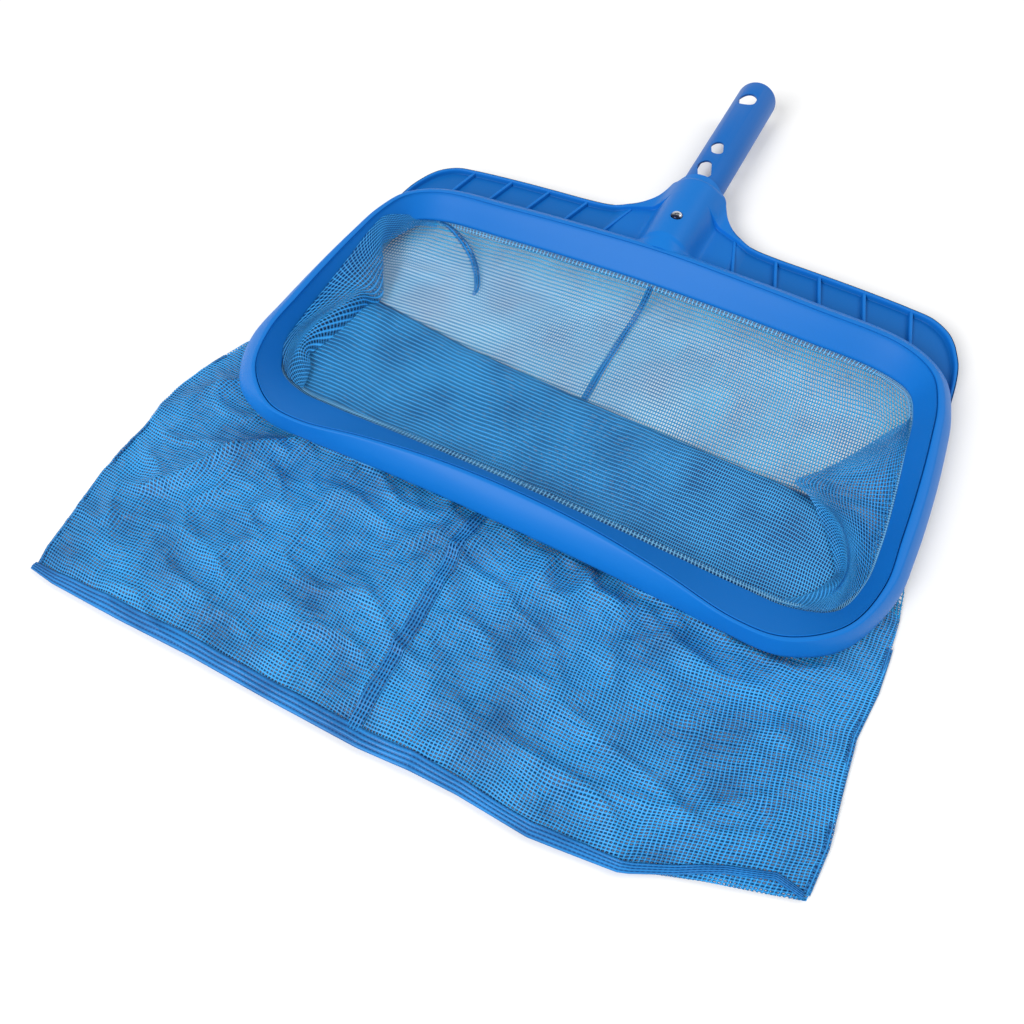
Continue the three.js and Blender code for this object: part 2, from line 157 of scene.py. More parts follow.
end = tree.nodes.new("ShaderNodeOutputMaterial")
link(tree, paint.outputs[0], add.inputs[0])
link(tree, lift.outputs[0], add.inputs[1])
link(tree, add.outputs[0], end.inputs["Surface"])

FLOOR_REACH = 4
bm = bmesh.new()
bmesh.ops.create_grid(bm, x_segments=1, y_segments=1, size=FLOOR_REACH)
floor_mesh = bpy.data.meshes.new("floor")
bm.to_mesh(floor_mesh)
bm.free()
floor_mesh.materials.append(floor_paint)
floor = bpy.data.objects.new("floor", floor_mesh)
scene.collection.objects.link(floor)
print("floor", 2 * FLOOR_REACH, "m wide")


# %% [markdown]
# Two large disk lamps, one in front and one behind, give the shadows soft edges. A lamp's energy is
# worked out from its distance and its level, so it gives the floor as much light when it is moved.
# %% Lamps
def lamp(name, place, size, level):
    """A disk lamp aimed at the origin; level is the share of plain light it gives the floor."""
    data = bpy.data.lights.new(name, "AREA")
    data.shape = "DISK"
    data.size = size
    away = Vector(place)
    data.energy = level * (math.pi * away.length) ** 2 * away.length / away.z
    made = bpy.data.objects.new(name, data)
    made.location = place
    made.rotation_euler = (-away).to_track_quat("-Z", "Y").to_euler()
    scene.collection.objects.link(made)


lamp("front_lamp", place=(-1.1, -3.0, 2.7), size=1.8, level=0.44)
lamp("rear_lamp", place=(2.1, 2.1, 3.1), size=2.0, level=0.18)

# %% [markdown]
# ## Finishes
# The frame and the adapter are moulded plastic: one blue with a satin gloss, a very fine orange
# peel and slight flow clouds. A node group makes clouds and peel once for both materials, and
# paints shade on what lies lower than the border of the web, so the recess is darker.
# %% Group: moulded surface
def new_group(name, ins, outs):
    """A node group with named sockets: label, kind and value, or label and kind."""
    group = bpy.data.node_groups.new(name, "ShaderNodeTree")
    for label, kind, value in ins:
        socket = group.interface.new_socket(label, in_out="INPUT", socket_type=kind)
        if value is not None:
            socket.default_value = value
    for label, kind in outs:
        group.interface.new_socket(label, in_out="OUTPUT", socket_type=kind)
    return group, group.nodes.new("NodeGroupInput"), group.nodes.new("NodeGroupOutput")


def math_node(tree, operation, a, b=None, c=None, clamp=False):
    """The output of a Math node whose inputs are numbers or other sockets."""
    node = tree.nodes.new("ShaderNodeMath")
    node.operation = operation
    node.use_clamp = clamp
    for socket, value in zip(node.inputs, (a, b, c)):
        if value is None:
            continue
        if isinstance(value, (int, float)):
            socket.default_value = value
        else:
            link(tree, value, socket)
    return node.outputs[0]


def noise_node(tree, vector, scale, detail):
    """The gray value of a noise that reads this vector."""
    node = tree.nodes.new("ShaderNodeTexNoise")
    node.inputs["Scale"].default_value = scale
    node.inputs["Detail"].default_value = detail
    link(tree, vector, node.inputs["Vector"])
    return node.outputs["Fac"]


moulded, ins, outs = new_group(
    "moulded_surface",
    [("Vector", "NodeSocketVector", None), ("Base", "NodeSocketColor", (0.02, 0.2, 0.6, 1)),
     ("Cloud", "NodeSocketFloat", 0.06), ("Gloss", "NodeSocketFloat", 0.34),
     ("Recess shade", "NodeSocketFloat", 1.0)],
    [("Color", "NodeSocketColor"), ("Roughness", "NodeSocketFloat"), ("Height", "NodeSocketFloat")])
# Between these heights the colour fades into painted shade: lower faces are darker.
RECESS_SHADE_FROM = 0.0132
RECESS_SHADE_TO = 0.0158
clouds = noise_node(moulded, ins.outputs["Vector"], scale=18, detail=3)
peel = noise_node(moulded, ins.outputs["Vector"], scale=900, detail=2)
shift = math_node(moulded, "MULTIPLY", math_node(moulded, "SUBTRACT", clouds, 0.5),
                  ins.outputs["Cloud"])
level = moulded.nodes.new("ShaderNodeSeparateXYZ")
link(moulded, ins.outputs["Vector"], level.inputs[0])
# Painted shade: below the border the colour is multiplied down to the share that the group is given.
painted_shade = moulded.nodes.new("ShaderNodeMapRange")
painted_shade.inputs["From Min"].default_value = RECESS_SHADE_FROM
painted_shade.inputs["From Max"].default_value = RECESS_SHADE_TO
painted_shade.inputs["To Max"].default_value = 1.0
link(moulded, level.outputs["Z"], painted_shade.inputs["Value"])
link(moulded, ins.outputs["Recess shade"], painted_shade.inputs["To Min"])
tone = moulded.nodes.new("ShaderNodeHueSaturation")
link(moulded, math_node(moulded, "MULTIPLY", math_node(moulded, "ADD", shift, 1.0),
                        painted_shade.outputs[0]), tone.inputs["Value"])
link(moulded, ins.outputs["Base"], tone.inputs["Color"])
link(moulded, tone.outputs[0], outs.inputs["Color"])
link(moulded, math_node(moulded, "ADD", ins.outputs["Gloss"], shift), outs.inputs["Roughness"])
link(moulded, peel, outs.inputs["Height"])
print("group made:", moulded.name)


# %% [markdown]
# Both plastics are one recipe, a Principled shader fed by the group. They could share one material,
# but the adapter was moulded apart and is a little darker, so each has its own blue and gloss.
# %% Plastic materials
def principled(name):
    """A new material with its node tree and its Principled shader."""
    material = bpy.data.materials.new(name)
    material.use_nodes = True
    shader = material.node_tree.nodes["Principled BSDF"]
    return material, material.node_tree, shader


def plastic(name, color, gloss, low=1.0):
    """Moulded plastic; low is the brightness of its lowest faces, as a share: painted shade in the
    recess.
    """
    material, tree, shader = principled(name)
    where = tree.nodes.new("ShaderNodeTexCoord")
    surface = tree.nodes.new("ShaderNodeGroup")
    surface.node_tree = moulded
    surface.inputs["Base"].default_value = (*color, 1)
    surface.inputs["Gloss"].default_value = gloss
    surface.inputs["Recess shade"].default_value = low
    link(tree, where.outputs["Object"], surface.inputs["Vector"])
    link(tree, surface.outputs["Color"], shader.inputs["Base Color"])
    link(tree, surface.outputs["Roughness"], shader.inputs["Roughness"])
    bump = tree.nodes.new("ShaderNodeBump")
    bump.inputs["Strength"].default_value = 0.04
    bump.inputs["Distance"].default_value = 0.0003
    link(tree, surface.outputs["Height"], bump.inputs["Height"])
    link(tree, bump.outputs[0], shader.inputs["Normal"])
    shader.inputs["Specular IOR Level"].default_value = 0.14
    return material


# The frame's lowest faces keep 0.74 of their blue: painted shade in the recess between the ribs.
frame_blue = plastic("frame_plastic", (0.006, 0.178, 0.61), gloss=0.42, low=0.74)
adapter_blue = plastic("adapter_plastic", (0.006, 0.138, 0.50), gloss=0.40)
print("plastics made:", frame_blue.name, adapter_blue.name)

# %% [markdown]
# The screw and nut are bright plated steel whose gloss varies a little. Steel shows what lies round
# it, and an empty studio has nothing dark for the front of the screw head to mirror, so a dark
# reflection is painted into its colour there. Noise makes the border of the painted reflection uneven.
# %% Screw steel
steel, tree, shader = principled("screw_steel")
shader.inputs["Metallic"].default_value = 1.0
where = tree.nodes.new("ShaderNodeTexCoord")
marks = noise_node(tree, where.outputs["Object"], scale=1500, detail=2)
shade = tree.nodes.new("ShaderNodeMapRange")
shade.inputs["To Min"].default_value = 0.12
shade.inputs["To Max"].default_value = 0.26
link(tree, marks, shade.inputs["Value"])
link(tree, shade.outputs[0], shader.inputs["Roughness"])
# Painted reflection: the colour is dark on the front of the head and nut and bright steel behind.
reflection_edge_noise = noise_node(tree, where.outputs["Object"], scale=260, detail=2)
lengthwise = tree.nodes.new("ShaderNodeSeparateXYZ")
link(tree, where.outputs["Object"], lengthwise.inputs[0])
sharper = tree.nodes.new("ShaderNodeMapRange")
sharper.inputs["From Min"].default_value = DRAWING_Y + 139.2 * MM
sharper.inputs["From Max"].default_value = DRAWING_Y + 142.4 * MM
link(tree, math_node(tree, "MULTIPLY_ADD", reflection_edge_noise, 0.003, lengthwise.outputs["Y"]),
     sharper.inputs["Value"])
painted_reflection = tree.nodes.new("ShaderNodeMix")
painted_reflection.data_type = "RGBA"
painted_reflection.inputs["A"].default_value = (0.015, 0.02, 0.045, 1)
painted_reflection.inputs["B"].default_value = (0.66, 0.68, 0.72, 1)
link(tree, sharper.outputs[0], painted_reflection.inputs["Factor"])
link(tree, painted_reflection.outputs["Result"], shader.inputs["Base Color"])
print("steel made:", steel.name)

# %% [markdown]
# The net is a knitted mesh with open cells. One group draws its threads from the cloth's own UV
# map, which is in metres on the flat cloth, so the cells keep their size on every panel and bend
# with the folds. Its mask goes to Alpha: the holes are really open and let light through. Its
# colour output is painted light: a highlight along the top of each thread, shade beside it.
# %% Group: net weave
weave, ins, outs = new_group(
    "net_weave",
    [("Vector", "NodeSocketVector", None), ("Cell across", "NodeSocketFloat", 0.0021),
     ("Cell along", "NodeSocketFloat", 0.0028), ("Thread across", "NodeSocketFloat", 0.30),
     ("Thread along", "NodeSocketFloat", 0.34), ("Wander", "NodeSocketFloat", 0.0012),
     ("Wander scale", "NodeSocketFloat", 14), ("Highlight power", "NodeSocketFloat", 1.0),
     ("Row share", "NodeSocketFloat", 0.4)],
    [("Mask", "NodeSocketFloat"), ("Height", "NodeSocketFloat"), ("Painted highlight", "NodeSocketFloat")])
wander = weave.nodes.new("ShaderNodeTexNoise")
wander.inputs["Detail"].default_value = 1.5
link(weave, ins.outputs["Wander scale"], wander.inputs["Scale"])
link(weave, ins.outputs["Vector"], wander.inputs["Vector"])
parts = weave.nodes.new("ShaderNodeSeparateXYZ")
drift = weave.nodes.new("ShaderNodeSeparateColor")
link(weave, ins.outputs["Vector"], parts.inputs[0])
link(weave, wander.outputs["Color"], drift.inputs[0])


def thread(place, moved, cell, width):
    """How high the thread stands here, from 0 beside it to 1 on its crown."""
    off = math_node(weave, "MULTIPLY", math_node(weave, "SUBTRACT", moved, 0.5),
                    ins.outputs["Wander"])
    turns = math_node(weave, "DIVIDE", math_node(weave, "ADD", place, off), ins.outputs[cell])
    share = math_node(weave, "FRACT", turns)
    away = math_node(weave, "ABSOLUTE", math_node(weave, "SUBTRACT", share, 0.5))
    reach = math_node(weave, "MULTIPLY", ins.outputs[width], 0.5)
    return math_node(weave, "SUBTRACT", 1.0, math_node(weave, "DIVIDE", away, reach), clamp=True)


across = thread(parts.outputs["X"], drift.outputs[0], "Cell across", "Thread across")
along = thread(parts.outputs["Y"], drift.outputs[1], "Cell along", "Thread along")
highest = math_node(weave, "MAXIMUM", across, along)
link(weave, math_node(weave, "GREATER_THAN", highest, 0.001), outs.inputs["Mask"])
link(weave, math_node(weave, "POWER", highest, 0.6), outs.inputs["Height"])
# Painted light: the colour is pale on each thread's crown and dark beside it, a wale is darker where a
# row crosses over it, and a noise cloud makes the painted highlight stronger or weaker.
stitch = math_node(weave, "MULTIPLY_ADD", along, -0.5, 1.0)
wales = math_node(weave, "MULTIPLY", math_node(weave, "POWER", across, ins.outputs["Highlight power"]), stitch)
rows = math_node(weave, "MULTIPLY", math_node(weave, "POWER", along, ins.outputs["Highlight power"]),
                 ins.outputs["Row share"])
cloud = noise_node(weave, ins.outputs["Vector"], scale=24, detail=3)
share = math_node(weave, "MULTIPLY_ADD", cloud, 2.2, -0.1)
link(weave, math_node(weave, "MULTIPLY", math_node(weave, "ADD", wales, rows), share, clamp=True),
     outs.inputs["Painted highlight"])
print("group made:", weave.name)


# %% [markdown]
# Every cloth of the bag is the same knit with its own cell size, thread width and painted shade
# and highlight colors, so each is one call of a function. Stretched net has thin threads and open
# cells, slack or drawn-in net has closer ones, and the rolled seam has no open cells left.
# %% Net materials
def net_cloth(name, painted_shade, crown, cell, width, wander, highlight_shape):
    """Colors: painted shade beside and between the stitches, and a painted highlight on the top of each.
    """
    material, tree, shader = principled(name)
    cloth = tree.nodes.new("ShaderNodeUVMap")
    cloth.uv_map = "cloth"
    knit = tree.nodes.new("ShaderNodeGroup")
    knit.node_tree = weave
    for label, value in zip(("Cell across", "Cell along", "Thread across", "Thread along",
                             "Wander", "Wander scale", "Highlight power", "Row share"),
                            (*cell, *width, *wander, *highlight_shape)):
        knit.inputs[label].default_value = value
    link(tree, cloth.outputs[0], knit.inputs["Vector"])
    tone = tree.nodes.new("ShaderNodeMix")
    tone.data_type = "RGBA"
    tone.inputs["A"].default_value = (*painted_shade, 1)
    tone.inputs["B"].default_value = (*crown, 1)
    link(tree, knit.outputs["Painted highlight"], tone.inputs["Factor"])
    link(tree, tone.outputs["Result"], shader.inputs["Base Color"])
    link(tree, knit.outputs["Mask"], shader.inputs["Alpha"])
    bump = tree.nodes.new("ShaderNodeBump")
    bump.inputs["Strength"].default_value = 0.5
    bump.inputs["Distance"].default_value = 0.0004
    link(tree, knit.outputs["Height"], bump.inputs["Height"])
    link(tree, bump.outputs[0], shader.inputs["Normal"])
    shader.inputs["Roughness"].default_value = 0.42
    shader.inputs["Specular IOR Level"].default_value = 0.25
    return material


# Painted shade and painted highlight colors shared by several nets.
PAINTED_SHADE_BLUE = (0.0006, 0.024, 0.13)
PAINTED_HIGHLIGHT_BLUE = (0.042, 0.430, 0.98)
back_net = net_cloth("net_mesh_stretched", (0.0006, 0.100, 0.32), (0.025, 0.530, 0.94),
                     (0.0020, 0.0027), (0.39, 0.31), (0.004, 12), (0.9, 0.5))
front_net = net_cloth("net_mesh_slack", PAINTED_SHADE_BLUE, PAINTED_HIGHLIGHT_BLUE, (0.0022, 0.0018), (0.48, 0.70),
                      (0.007, 24), (1.2, 0.95))
drawn_net = net_cloth("net_mesh_drawn", PAINTED_SHADE_BLUE, (0.060, 0.480, 1.0), (0.0018, 0.0030),
                      (0.88, 0.38), (0.006, 20), (2.6, 2.8))
gusset_net = net_cloth("net_mesh_gusset", PAINTED_SHADE_BLUE, PAINTED_HIGHLIGHT_BLUE, (0.0018, 0.0023), (0.60, 0.50),
                       (0.002, 20), (1.3, 0.8))
seam_net = net_cloth("net_seam", (0.001, 0.035, 0.17), (0.028, 0.330, 0.80), (0.0019, 0.0025),
                     (0.66, 0.52), (0.001, 14), (1.1, 0.5))
roll_net = net_cloth("net_rolled_seam", (0.0006, 0.026, 0.14), (0.020, 0.260, 0.70),
                     (0.0034, 0.0024), (1.02, 0.60), (0.0006, 30), (0.8, 0.35))
hem_net = net_cloth("net_hem", (0.002, 0.07, 0.24), (0.20, 0.58, 0.92), (0.0029, 0.0019),
                    (0.50, 0.62), (0.001, 14), (2.4, 2.4))
net_materials = (back_net, front_net, drawn_net, gusset_net, seam_net, roll_net, hem_net)
print("net materials:", [material.name for material in net_materials])

# %% [markdown]
# ## Plan curves
# The mouth is drawn by four closed curves, each given for its right half: the inner edge of the
# funnel, the groove between funnel and frame, the shoulder, and the widest line of the outer wall.
# The left half is the mirror of the right one, but for the outer wall, which is wider at its front
# left corner.
# %% Plan curves
INNER = [
    (0, -91), (50, -91.3), (96, -92.2), (138, -93.2), (167, -92.5), (189.5, -83), (198.5, -60),
    (199.7, -35), (197.8, 0), (194.2, 35), (191.5, 60), (184, 78), (163, 86.5), (112, 90.3),
    (56, 92.8), (0, 94)]
GROOVE = [
    (0, -102.6), (50, -104.6), (98, -110.8), (142, -118.6), (168, -116), (194, -96), (204.5, -66),
    (204.8, -35), (204, 0), (201.8, 35), (198.5, 62), (190, 83), (168, 96.5), (113, 102),
    (56, 105.8), (0, 108)]
SHOULDER = [
    (0, -105.2), (50, -107.2), (99, -113.2), (142, -120.8), (169.3, -118.2), (196, -97.8),
    (208, -66), (209.5, -35), (209, 0), (206.3, 34), (202.3, 63.5), (192.6, 85.6), (169, 99.8),
    (113.4, 105.3), (56, 109), (0, 111.3)]
OUTER = [
    (0, -117.9), (50, -118.1), (98, -119.4), (142, -121), (171.5, -119.4), (199.5, -101.2),
    (215.5, -64), (217.5, -35), (217.2, 0), (215.2, 35), (211.5, 65), (201.5, 92.5),
    (175, 111.5), (115, 119.3), (57, 122.5), (0, 124)]
OUTER_LEFT = [
    (0, -117.9), (50, -118.1), (98, -119.6), (142, -121.4), (175, -120.6), (205.5, -107.5),
    (223.0, -75), (222.4, -37), (219.4, 0), (215.8, 35), (211.5, 65), (201.5, 92.5),
    (175, 111.5), (115, 119.3), (57, 122.5), (0, 124)]
SKIRT_Z = 6.0
LIP_Z = 12.8
LIP_TO_SKIRT = [12.2, 9.5]
UNDER = [LIP_Z] * 4 + LIP_TO_SKIRT + [SKIRT_Z] * 10
print("points of half a curve:", len(INNER))


# %% [markdown]
# Straight lines between these points would leave corners, and a Bezier curve would need handles at
# every point. A centripetal Catmull-Rom spline goes through the points by itself, has no loops and
# keeps the corners of the mouth round.
# %% Spline round the mouth
def spline(points, count, closed):
    """Evenly numbered points on a centripetal Catmull-Rom spline through the given ones."""
    given = np.array(points, float)
    last = len(given) if closed else len(given) - 1
    out = []
    for step in range(count):
        place = step / (count if closed else count - 1) * last
        k = min(int(place), last - 1)
        w = place - k
        if closed:
            p = [given[(k + j - 1) % len(given)] for j in range(4)]
        else:
            first = given[k - 1] if k else 2 * given[0] - given[1]
            after = given[k + 2] if k + 2 < len(given) else 2 * given[-1] - given[-2]
            p = [first, given[k], given[k + 1], after]
        d = [max(np.linalg.norm(p[j + 1] - p[j]) ** 0.5, 1e-4) for j in range(3)]
        m1 = ((p[1] - p[0]) / d[0] - (p[2] - p[0]) / (d[0] + d[1]) + (p[2] - p[1]) / d[1]) * d[1]
        m2 = ((p[2] - p[1]) / d[1] - (p[3] - p[1]) / (d[1] + d[2]) + (p[3] - p[2]) / d[2]) * d[1]
        a = 2 * p[1] - 2 * p[2] + m1 + m2
        b = -3 * p[1] + 3 * p[2] - 2 * m1 - m2
        out.append(((a * w + b) * w + m1) * w + p[1])
    return np.array(out)


STATIONS = 210


def round_the_mouth(half, heights=None, left=None):
    """A closed curve from its right half; the left half is its mirror unless it is given too."""
    rows = [(x, y, heights[i] if heights else 0) for i, (x, y) in enumerate(half)]
    other = [(-x, y, row[2]) for (x, y), row in zip(left or half, rows)]
    mirrored = other[1:-1][::-1]
    return spline(rows + mirrored, STATIONS, True)


inner = round_the_mouth(INNER)
groove = round_the_mouth(GROOVE)
shoulder = round_the_mouth(SHOULDER)
outer = round_the_mouth(OUTER, UNDER, OUTER_LEFT)
print("mouth:", round(float(np.ptp(inner[:, 0])), 1), "x", round(float(np.ptp(inner[:, 1])), 1))


# %% [markdown]
# ## Ring helpers
# A ring-shaped moulding is one loop of points that is extruded again and again: each new loop is
# the next line of the section, and the last one is welded to the first. Blender's extrude keeps the
# order of the points, so nothing twists.
# %% Loop helpers
def extrude_to(bm, row, points, closed):
    """Extrude a row of vertices, put the new row at these points and return it."""
    count = len(row)
    edges = [bm.edges.get((row[i], row[(i + 1) % count])) for i in range(count if closed else count - 1)]
    made = bmesh.ops.extrude_edge_only(bm, edges=edges)["geom"]
    new = {g for g in made if isinstance(g, bmesh.types.BMVert)}
    following = []
    for old, point in zip(row, points):
        vert = next(e.other_vert(old) for e in old.link_edges if e.other_vert(old) in new)
        vert.co = point
        following.append(vert)
    return following


def first_row(bm, points, closed):
    """A row of vertices joined by edges, from which the others are extruded."""
    row = [bm.verts.new(p) for p in points]
    for i in range(len(row) if closed else len(row) - 1):
        bm.edges.new((row[i], row[(i + 1) % len(row)]))
    return row


def finish_mesh(bm, name, materials):
    """Weld the mesh, turn its faces outwards and give it an object and its materials."""
    bmesh.ops.remove_doubles(bm, verts=bm.verts, dist=1e-6)
    bmesh.ops.recalc_face_normals(bm, faces=bm.faces)
    mesh = bpy.data.meshes.new(name)
    bm.to_mesh(mesh)
    bm.free()
    for material in materials:
        mesh.materials.append(material)
    mesh.polygons.foreach_set("use_smooth", [True] * len(mesh.polygons))
    piece = bpy.data.objects.new(name, mesh)
    scene.collection.objects.link(piece)
    return piece


def belongs(piece, slot, *nodes):
    """The piece rides on the one body and stands for its solids; slot is not used."""
    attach(piece, "root")
    if nodes:
        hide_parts(*nodes)
    print(piece.name, len(piece.data.polygons), "faces")


def subdivide(piece, levels):
    """Round the section: the control lines become a smooth surface."""
    modifier = piece.modifiers.new("subdivision", "SUBSURF")
    modifier.levels = modifier.render_levels = levels


def closed_ring(name, section, material):
    """A ring round the mouth: section(i) gives the points of its section at station i."""
    sections = [section(i) for i in range(STATIONS)]
    bm = bmesh.new()
    lines = [[s[j] for s in sections] for j in range(len(sections[0]))]
    row = first_row(bm, lines[0], True)
    for line in lines[1:] + lines[:1]:
        row = extrude_to(bm, row, line, True)
    return finish_mesh(bm, name, [material])


def between(start, end, share, z, more=0.0):
    """A point of the section between two plan curves, pushed outwards by `more`."""
    away = (end - start)[:2]
    away = away / np.linalg.norm(away)
    plan = start[:2] + (end[:2] - start[:2]) * share + away * more
    return at(plan[0], plan[1], z)


print("stations round the mouth:", STATIONS)

# %% [markdown]
# ## Funnel insert
# The insert slopes from the inner edge, where the net starts, up to the rim. Its outer edge is the
# fine groove that is seen all round the mouth. Pairs of close lines hold its edges crisp.
# %% Funnel insert
INNER_Z = 15.5
RIM_Z = 31.8
INSERT_T = 2.3


def insert_section(i):
    """Section of the funnel, from its inner edge up to the groove and back below."""
    a, g = inner[i], groove[i]
    return [
        between(a, g, 0.0, INNER_Z + 0.7, -0.15), between(a, g, 0.05, INNER_Z + 1.7),
        between(a, g, 0.22, INNER_Z + 4.4), between(a, g, 0.5, INNER_Z + 8.9),
        between(a, g, 0.78, INNER_Z + 13.1), between(a, g, 0.94, RIM_Z - 0.85),
        between(a, g, 1.0, RIM_Z - 0.3, -0.80), between(a, g, 1.0, RIM_Z - 0.45, -0.45),
        between(a, g, 1.0, RIM_Z - 1.0, -0.30),
        between(a, g, 1.0, RIM_Z - INSERT_T, -0.2), between(a, g, 0.86, RIM_Z - INSERT_T - 2, 0.4),
        between(a, g, 0.5, INNER_Z + 5.4, 0.7), between(a, g, 0.0, INNER_Z - 1.4, 1.3),
        between(a, g, 0.0, INNER_Z - 1.8, 0.7), between(a, g, 0.0, INNER_Z - 1.7, 0.1),
        between(a, g, 0.0, INNER_Z - 0.9, -0.4), between(a, g, 0.0, INNER_Z + 0.0, -0.45),
    ]


insert = closed_ring("funnel_insert", insert_section, frame_blue)
subdivide(insert, 1)
belongs(insert, "frame_plastic", "clamp_ring")

# %% [markdown]
# ## Rim
# The outer wall of the frame is a thin moulding: a narrow flat shoulder beside the groove, a full
# round slope, a skirt at the sides and a thin lip at the front.
# %% Rim of the frame
EDGE_Z = 15.2
SKIN = 2.6


def rim_section(i):
    """Section of the rim, from the groove over the shoulder to the outer edge and back below."""
    a, g, s, o = inner[i], groove[i], shoulder[i], outer[i]
    under = o[2]
    front = under > 12
    edge = min(EDGE_Z, under + 9)
    return [
        between(g, s, 0, RIM_Z - 1.6, 0.14), between(g, s, 0, RIM_Z - 0.6, 0.18),
        between(g, s, 0, RIM_Z - 0.1, 0.34), between(g, s, 0, RIM_Z, 0.7),
        between(g, s, 0.75, RIM_Z - 0.1), between(s, o, 0.0, RIM_Z - 0.35),
        between(s, o, 0.13, RIM_Z - 1.5), between(s, o, 0.32, RIM_Z - 3.3),
        between(s, o, 0.58, RIM_Z - 6.4), between(s, o, 0.82, EDGE_Z + 6.4),
        between(s, o, 0.97, EDGE_Z + (1.4 if front else 2.5)),
        between(s, o, 1, edge + (-0.6 if front else -0.5)),
        between(s, o, 1, under + 0.5, -0.15), between(s, o, 1, under, -0.7),
        between(s, o, 1, under, -SKIN + 0.5), between(s, o, 1, under + 0.6, -SKIN),
        between(s, o, 1, edge - (1.0 if front else 0.0), -SKIN - 0.4),
        between(s, o, 0.45, RIM_Z - 8.2, -1.2), between(g, s, 0.2, RIM_Z - 5.4),
        between(a, g, 0.62, INNER_Z + 6.0, 1.2), between(a, g, 0, INNER_Z - 3.2, 3.8),
        between(a, g, 0, INNER_Z - 3.2, 1.6), between(a, g, 0.55, INNER_Z + 4.1, 1.0),
        between(a, g, 0.93, RIM_Z - 4.6, 0.6), between(g, s, 0, RIM_Z - 3.0, 0.12),
    ]


rim = closed_ring("frame_rim", rim_section, frame_blue)
subdivide(rim, 1)
print(rim.name, len(rim.data.polygons), "faces")

# %% [markdown]
# ## Rear web and socket
# Behind the mouth a flat web with a raised border carries the socket. It is one skin of rows from
# the rim to the rear edge. The socket swells out of it: each point is lifted to a surface in which
# a cylinder, the web and the slope of the rim run into each other in soft fillets.
# %% Outlines of the web
WEB_EDGE = [
    (209.2, 70), (207.6, 98), (205.4, 111), (202.4, 119.4), (199.2, 126.5), (193.4, 134.4),
    (182, 141.8), (166, 144.6), (135, 147.6), (104, 149.6), (73, 151.2), (57, 153), (46, 156.6),
    (36.6, 163), (29, 172), (23.6, 181), (20.4, 185.8), (0, 187)]
RECESS_EDGE = [
    (206.2, 74), (204.6, 97.4), (202.4, 109.8), (199.6, 117.8), (196.5, 124.4), (191.3, 131.6),
    (181, 138.7), (166, 141.5), (135, 144.4), (104, 146.4), (73, 148), (58, 149.8), (46, 153),
    (36, 157), (27, 160.8), (19.5, 163.2), (12, 163.8), (0, 163.8)]
WEB_START = [
    (204, 66), (202, 80), (199, 88), (196, 93), (192, 98), (187, 101.6), (178, 105.6),
    (166, 109), (150, 111.5), (125, 115), (95, 117), (68, 118.5), (54, 119.3), (44, 119.3),
    (35, 117.5), (27, 113.5), (20, 111.3), (0, 110.3)]
WEB_BOTTOM = 10.0
WEB_TOP = 12.6
BORDER_TOP = 16.3
WEB_COLUMNS = 421


def both_sides(half):
    """A line across the whole web, from its right half."""
    return spline(half + [(-x, y) for x, y in half[:-1]][::-1], WEB_COLUMNS, False)


start_line, recess_line, edge_line = (both_sides(h) for h in (WEB_START, RECESS_EDGE, WEB_EDGE))
print("rear edge:", round(float(np.ptp(edge_line[:, 0])), 1), "mm wide")

# %% [markdown]
# The socket's surface is found by bisection: above each point of the plan, the height is searched
# at which the blended distance to cylinder, step, web and rim slope becomes zero.
# %% Height of the socket
AXIS_Z = 18.1
BARREL_R = 18.6
BARREL_START = 119.0
BARREL_END = 187.0
MOUTH_LEAN = 0.35
STEP_R = 17.2
STEP_DROP = 3.6
STEP_RUN = 7.5
FILLET = 16.0
LOWEST = 2.0
HIGHEST = 40.0
HALVINGS = 26
FRONT_FILLET = 1.6
MOUTH_FILLET = 2.4
RIM_FILLET = 5.0
SOCKET_REACH = 52
SOCKET_FROM = 104
SLOPE_TOP_Y = 111.3
SLOPE_END_Y = 124.0


def soft_min(a, b, k):
    """The smaller of two distances, blended into each other over the length k."""
    h = np.clip(0.5 + 0.5 * (b - a) / k, 0, 1)
    return b + (a - b) * h - k * h * (1 - h)


def rim_slope(x, y):
    """Height of the outer slope of the rim, from its crest down to its foot."""
    crest = SLOPE_TOP_Y - 0.00073 * x * x
    foot = SLOPE_END_Y - 0.00048 * x * x
    share = (y - crest) / (foot - crest)
    return np.interp(share, [0, 0.13, 0.32, 0.58, 0.82, 1, 1.15],
                     [31.3, 30.2, 28.3, 25.2, 21.4, 15.4, 4.0]) - 0.35


def socket_height(x, y, base):
    """Height of the blended surface above the plan points (x, y) of a web of height base."""
    low, high = np.full_like(x, LOWEST), np.full_like(x, HIGHEST)
    slope = rim_slope(x, y)
    for _ in range(HALVINGS):
        z = (low + high) / 2
        away = np.hypot(x, z - AXIS_Z)
        front = -soft_min(-(away - BARREL_R), -(BARREL_START - y) * 0.8, FRONT_FILLET)
        lean = (y - BARREL_END + MOUTH_LEAN * (z - AXIS_Z)) * 0.94
        barrel = -soft_min(-front, -lean, MOUTH_FILLET)
        step = away - (STEP_R - STEP_DROP * np.clip((BARREL_START - y) / STEP_RUN, 0, 1.3) ** 2)
        body = soft_min(barrel, soft_min(step, (z - slope) * 0.6, RIM_FILLET), 1.0)
        whole = soft_min(body, z - base, FILLET)
        inside = whole < 0
        low, high = np.where(inside, z, low), np.where(inside, high, z)
    reach = (np.clip((SOCKET_REACH - np.abs(x)) / 8, 0, 1)
             * np.clip((y - SOCKET_FROM) / 4, 0, 1))
    lifted = low + (high - low) / 2
    return base + (lifted - base) * reach


top_z = float(socket_height(np.array([0.0]), np.array([150.0]), np.array([BORDER_TOP]))[0])
print("top of the socket", round(top_z, 2), "mm")

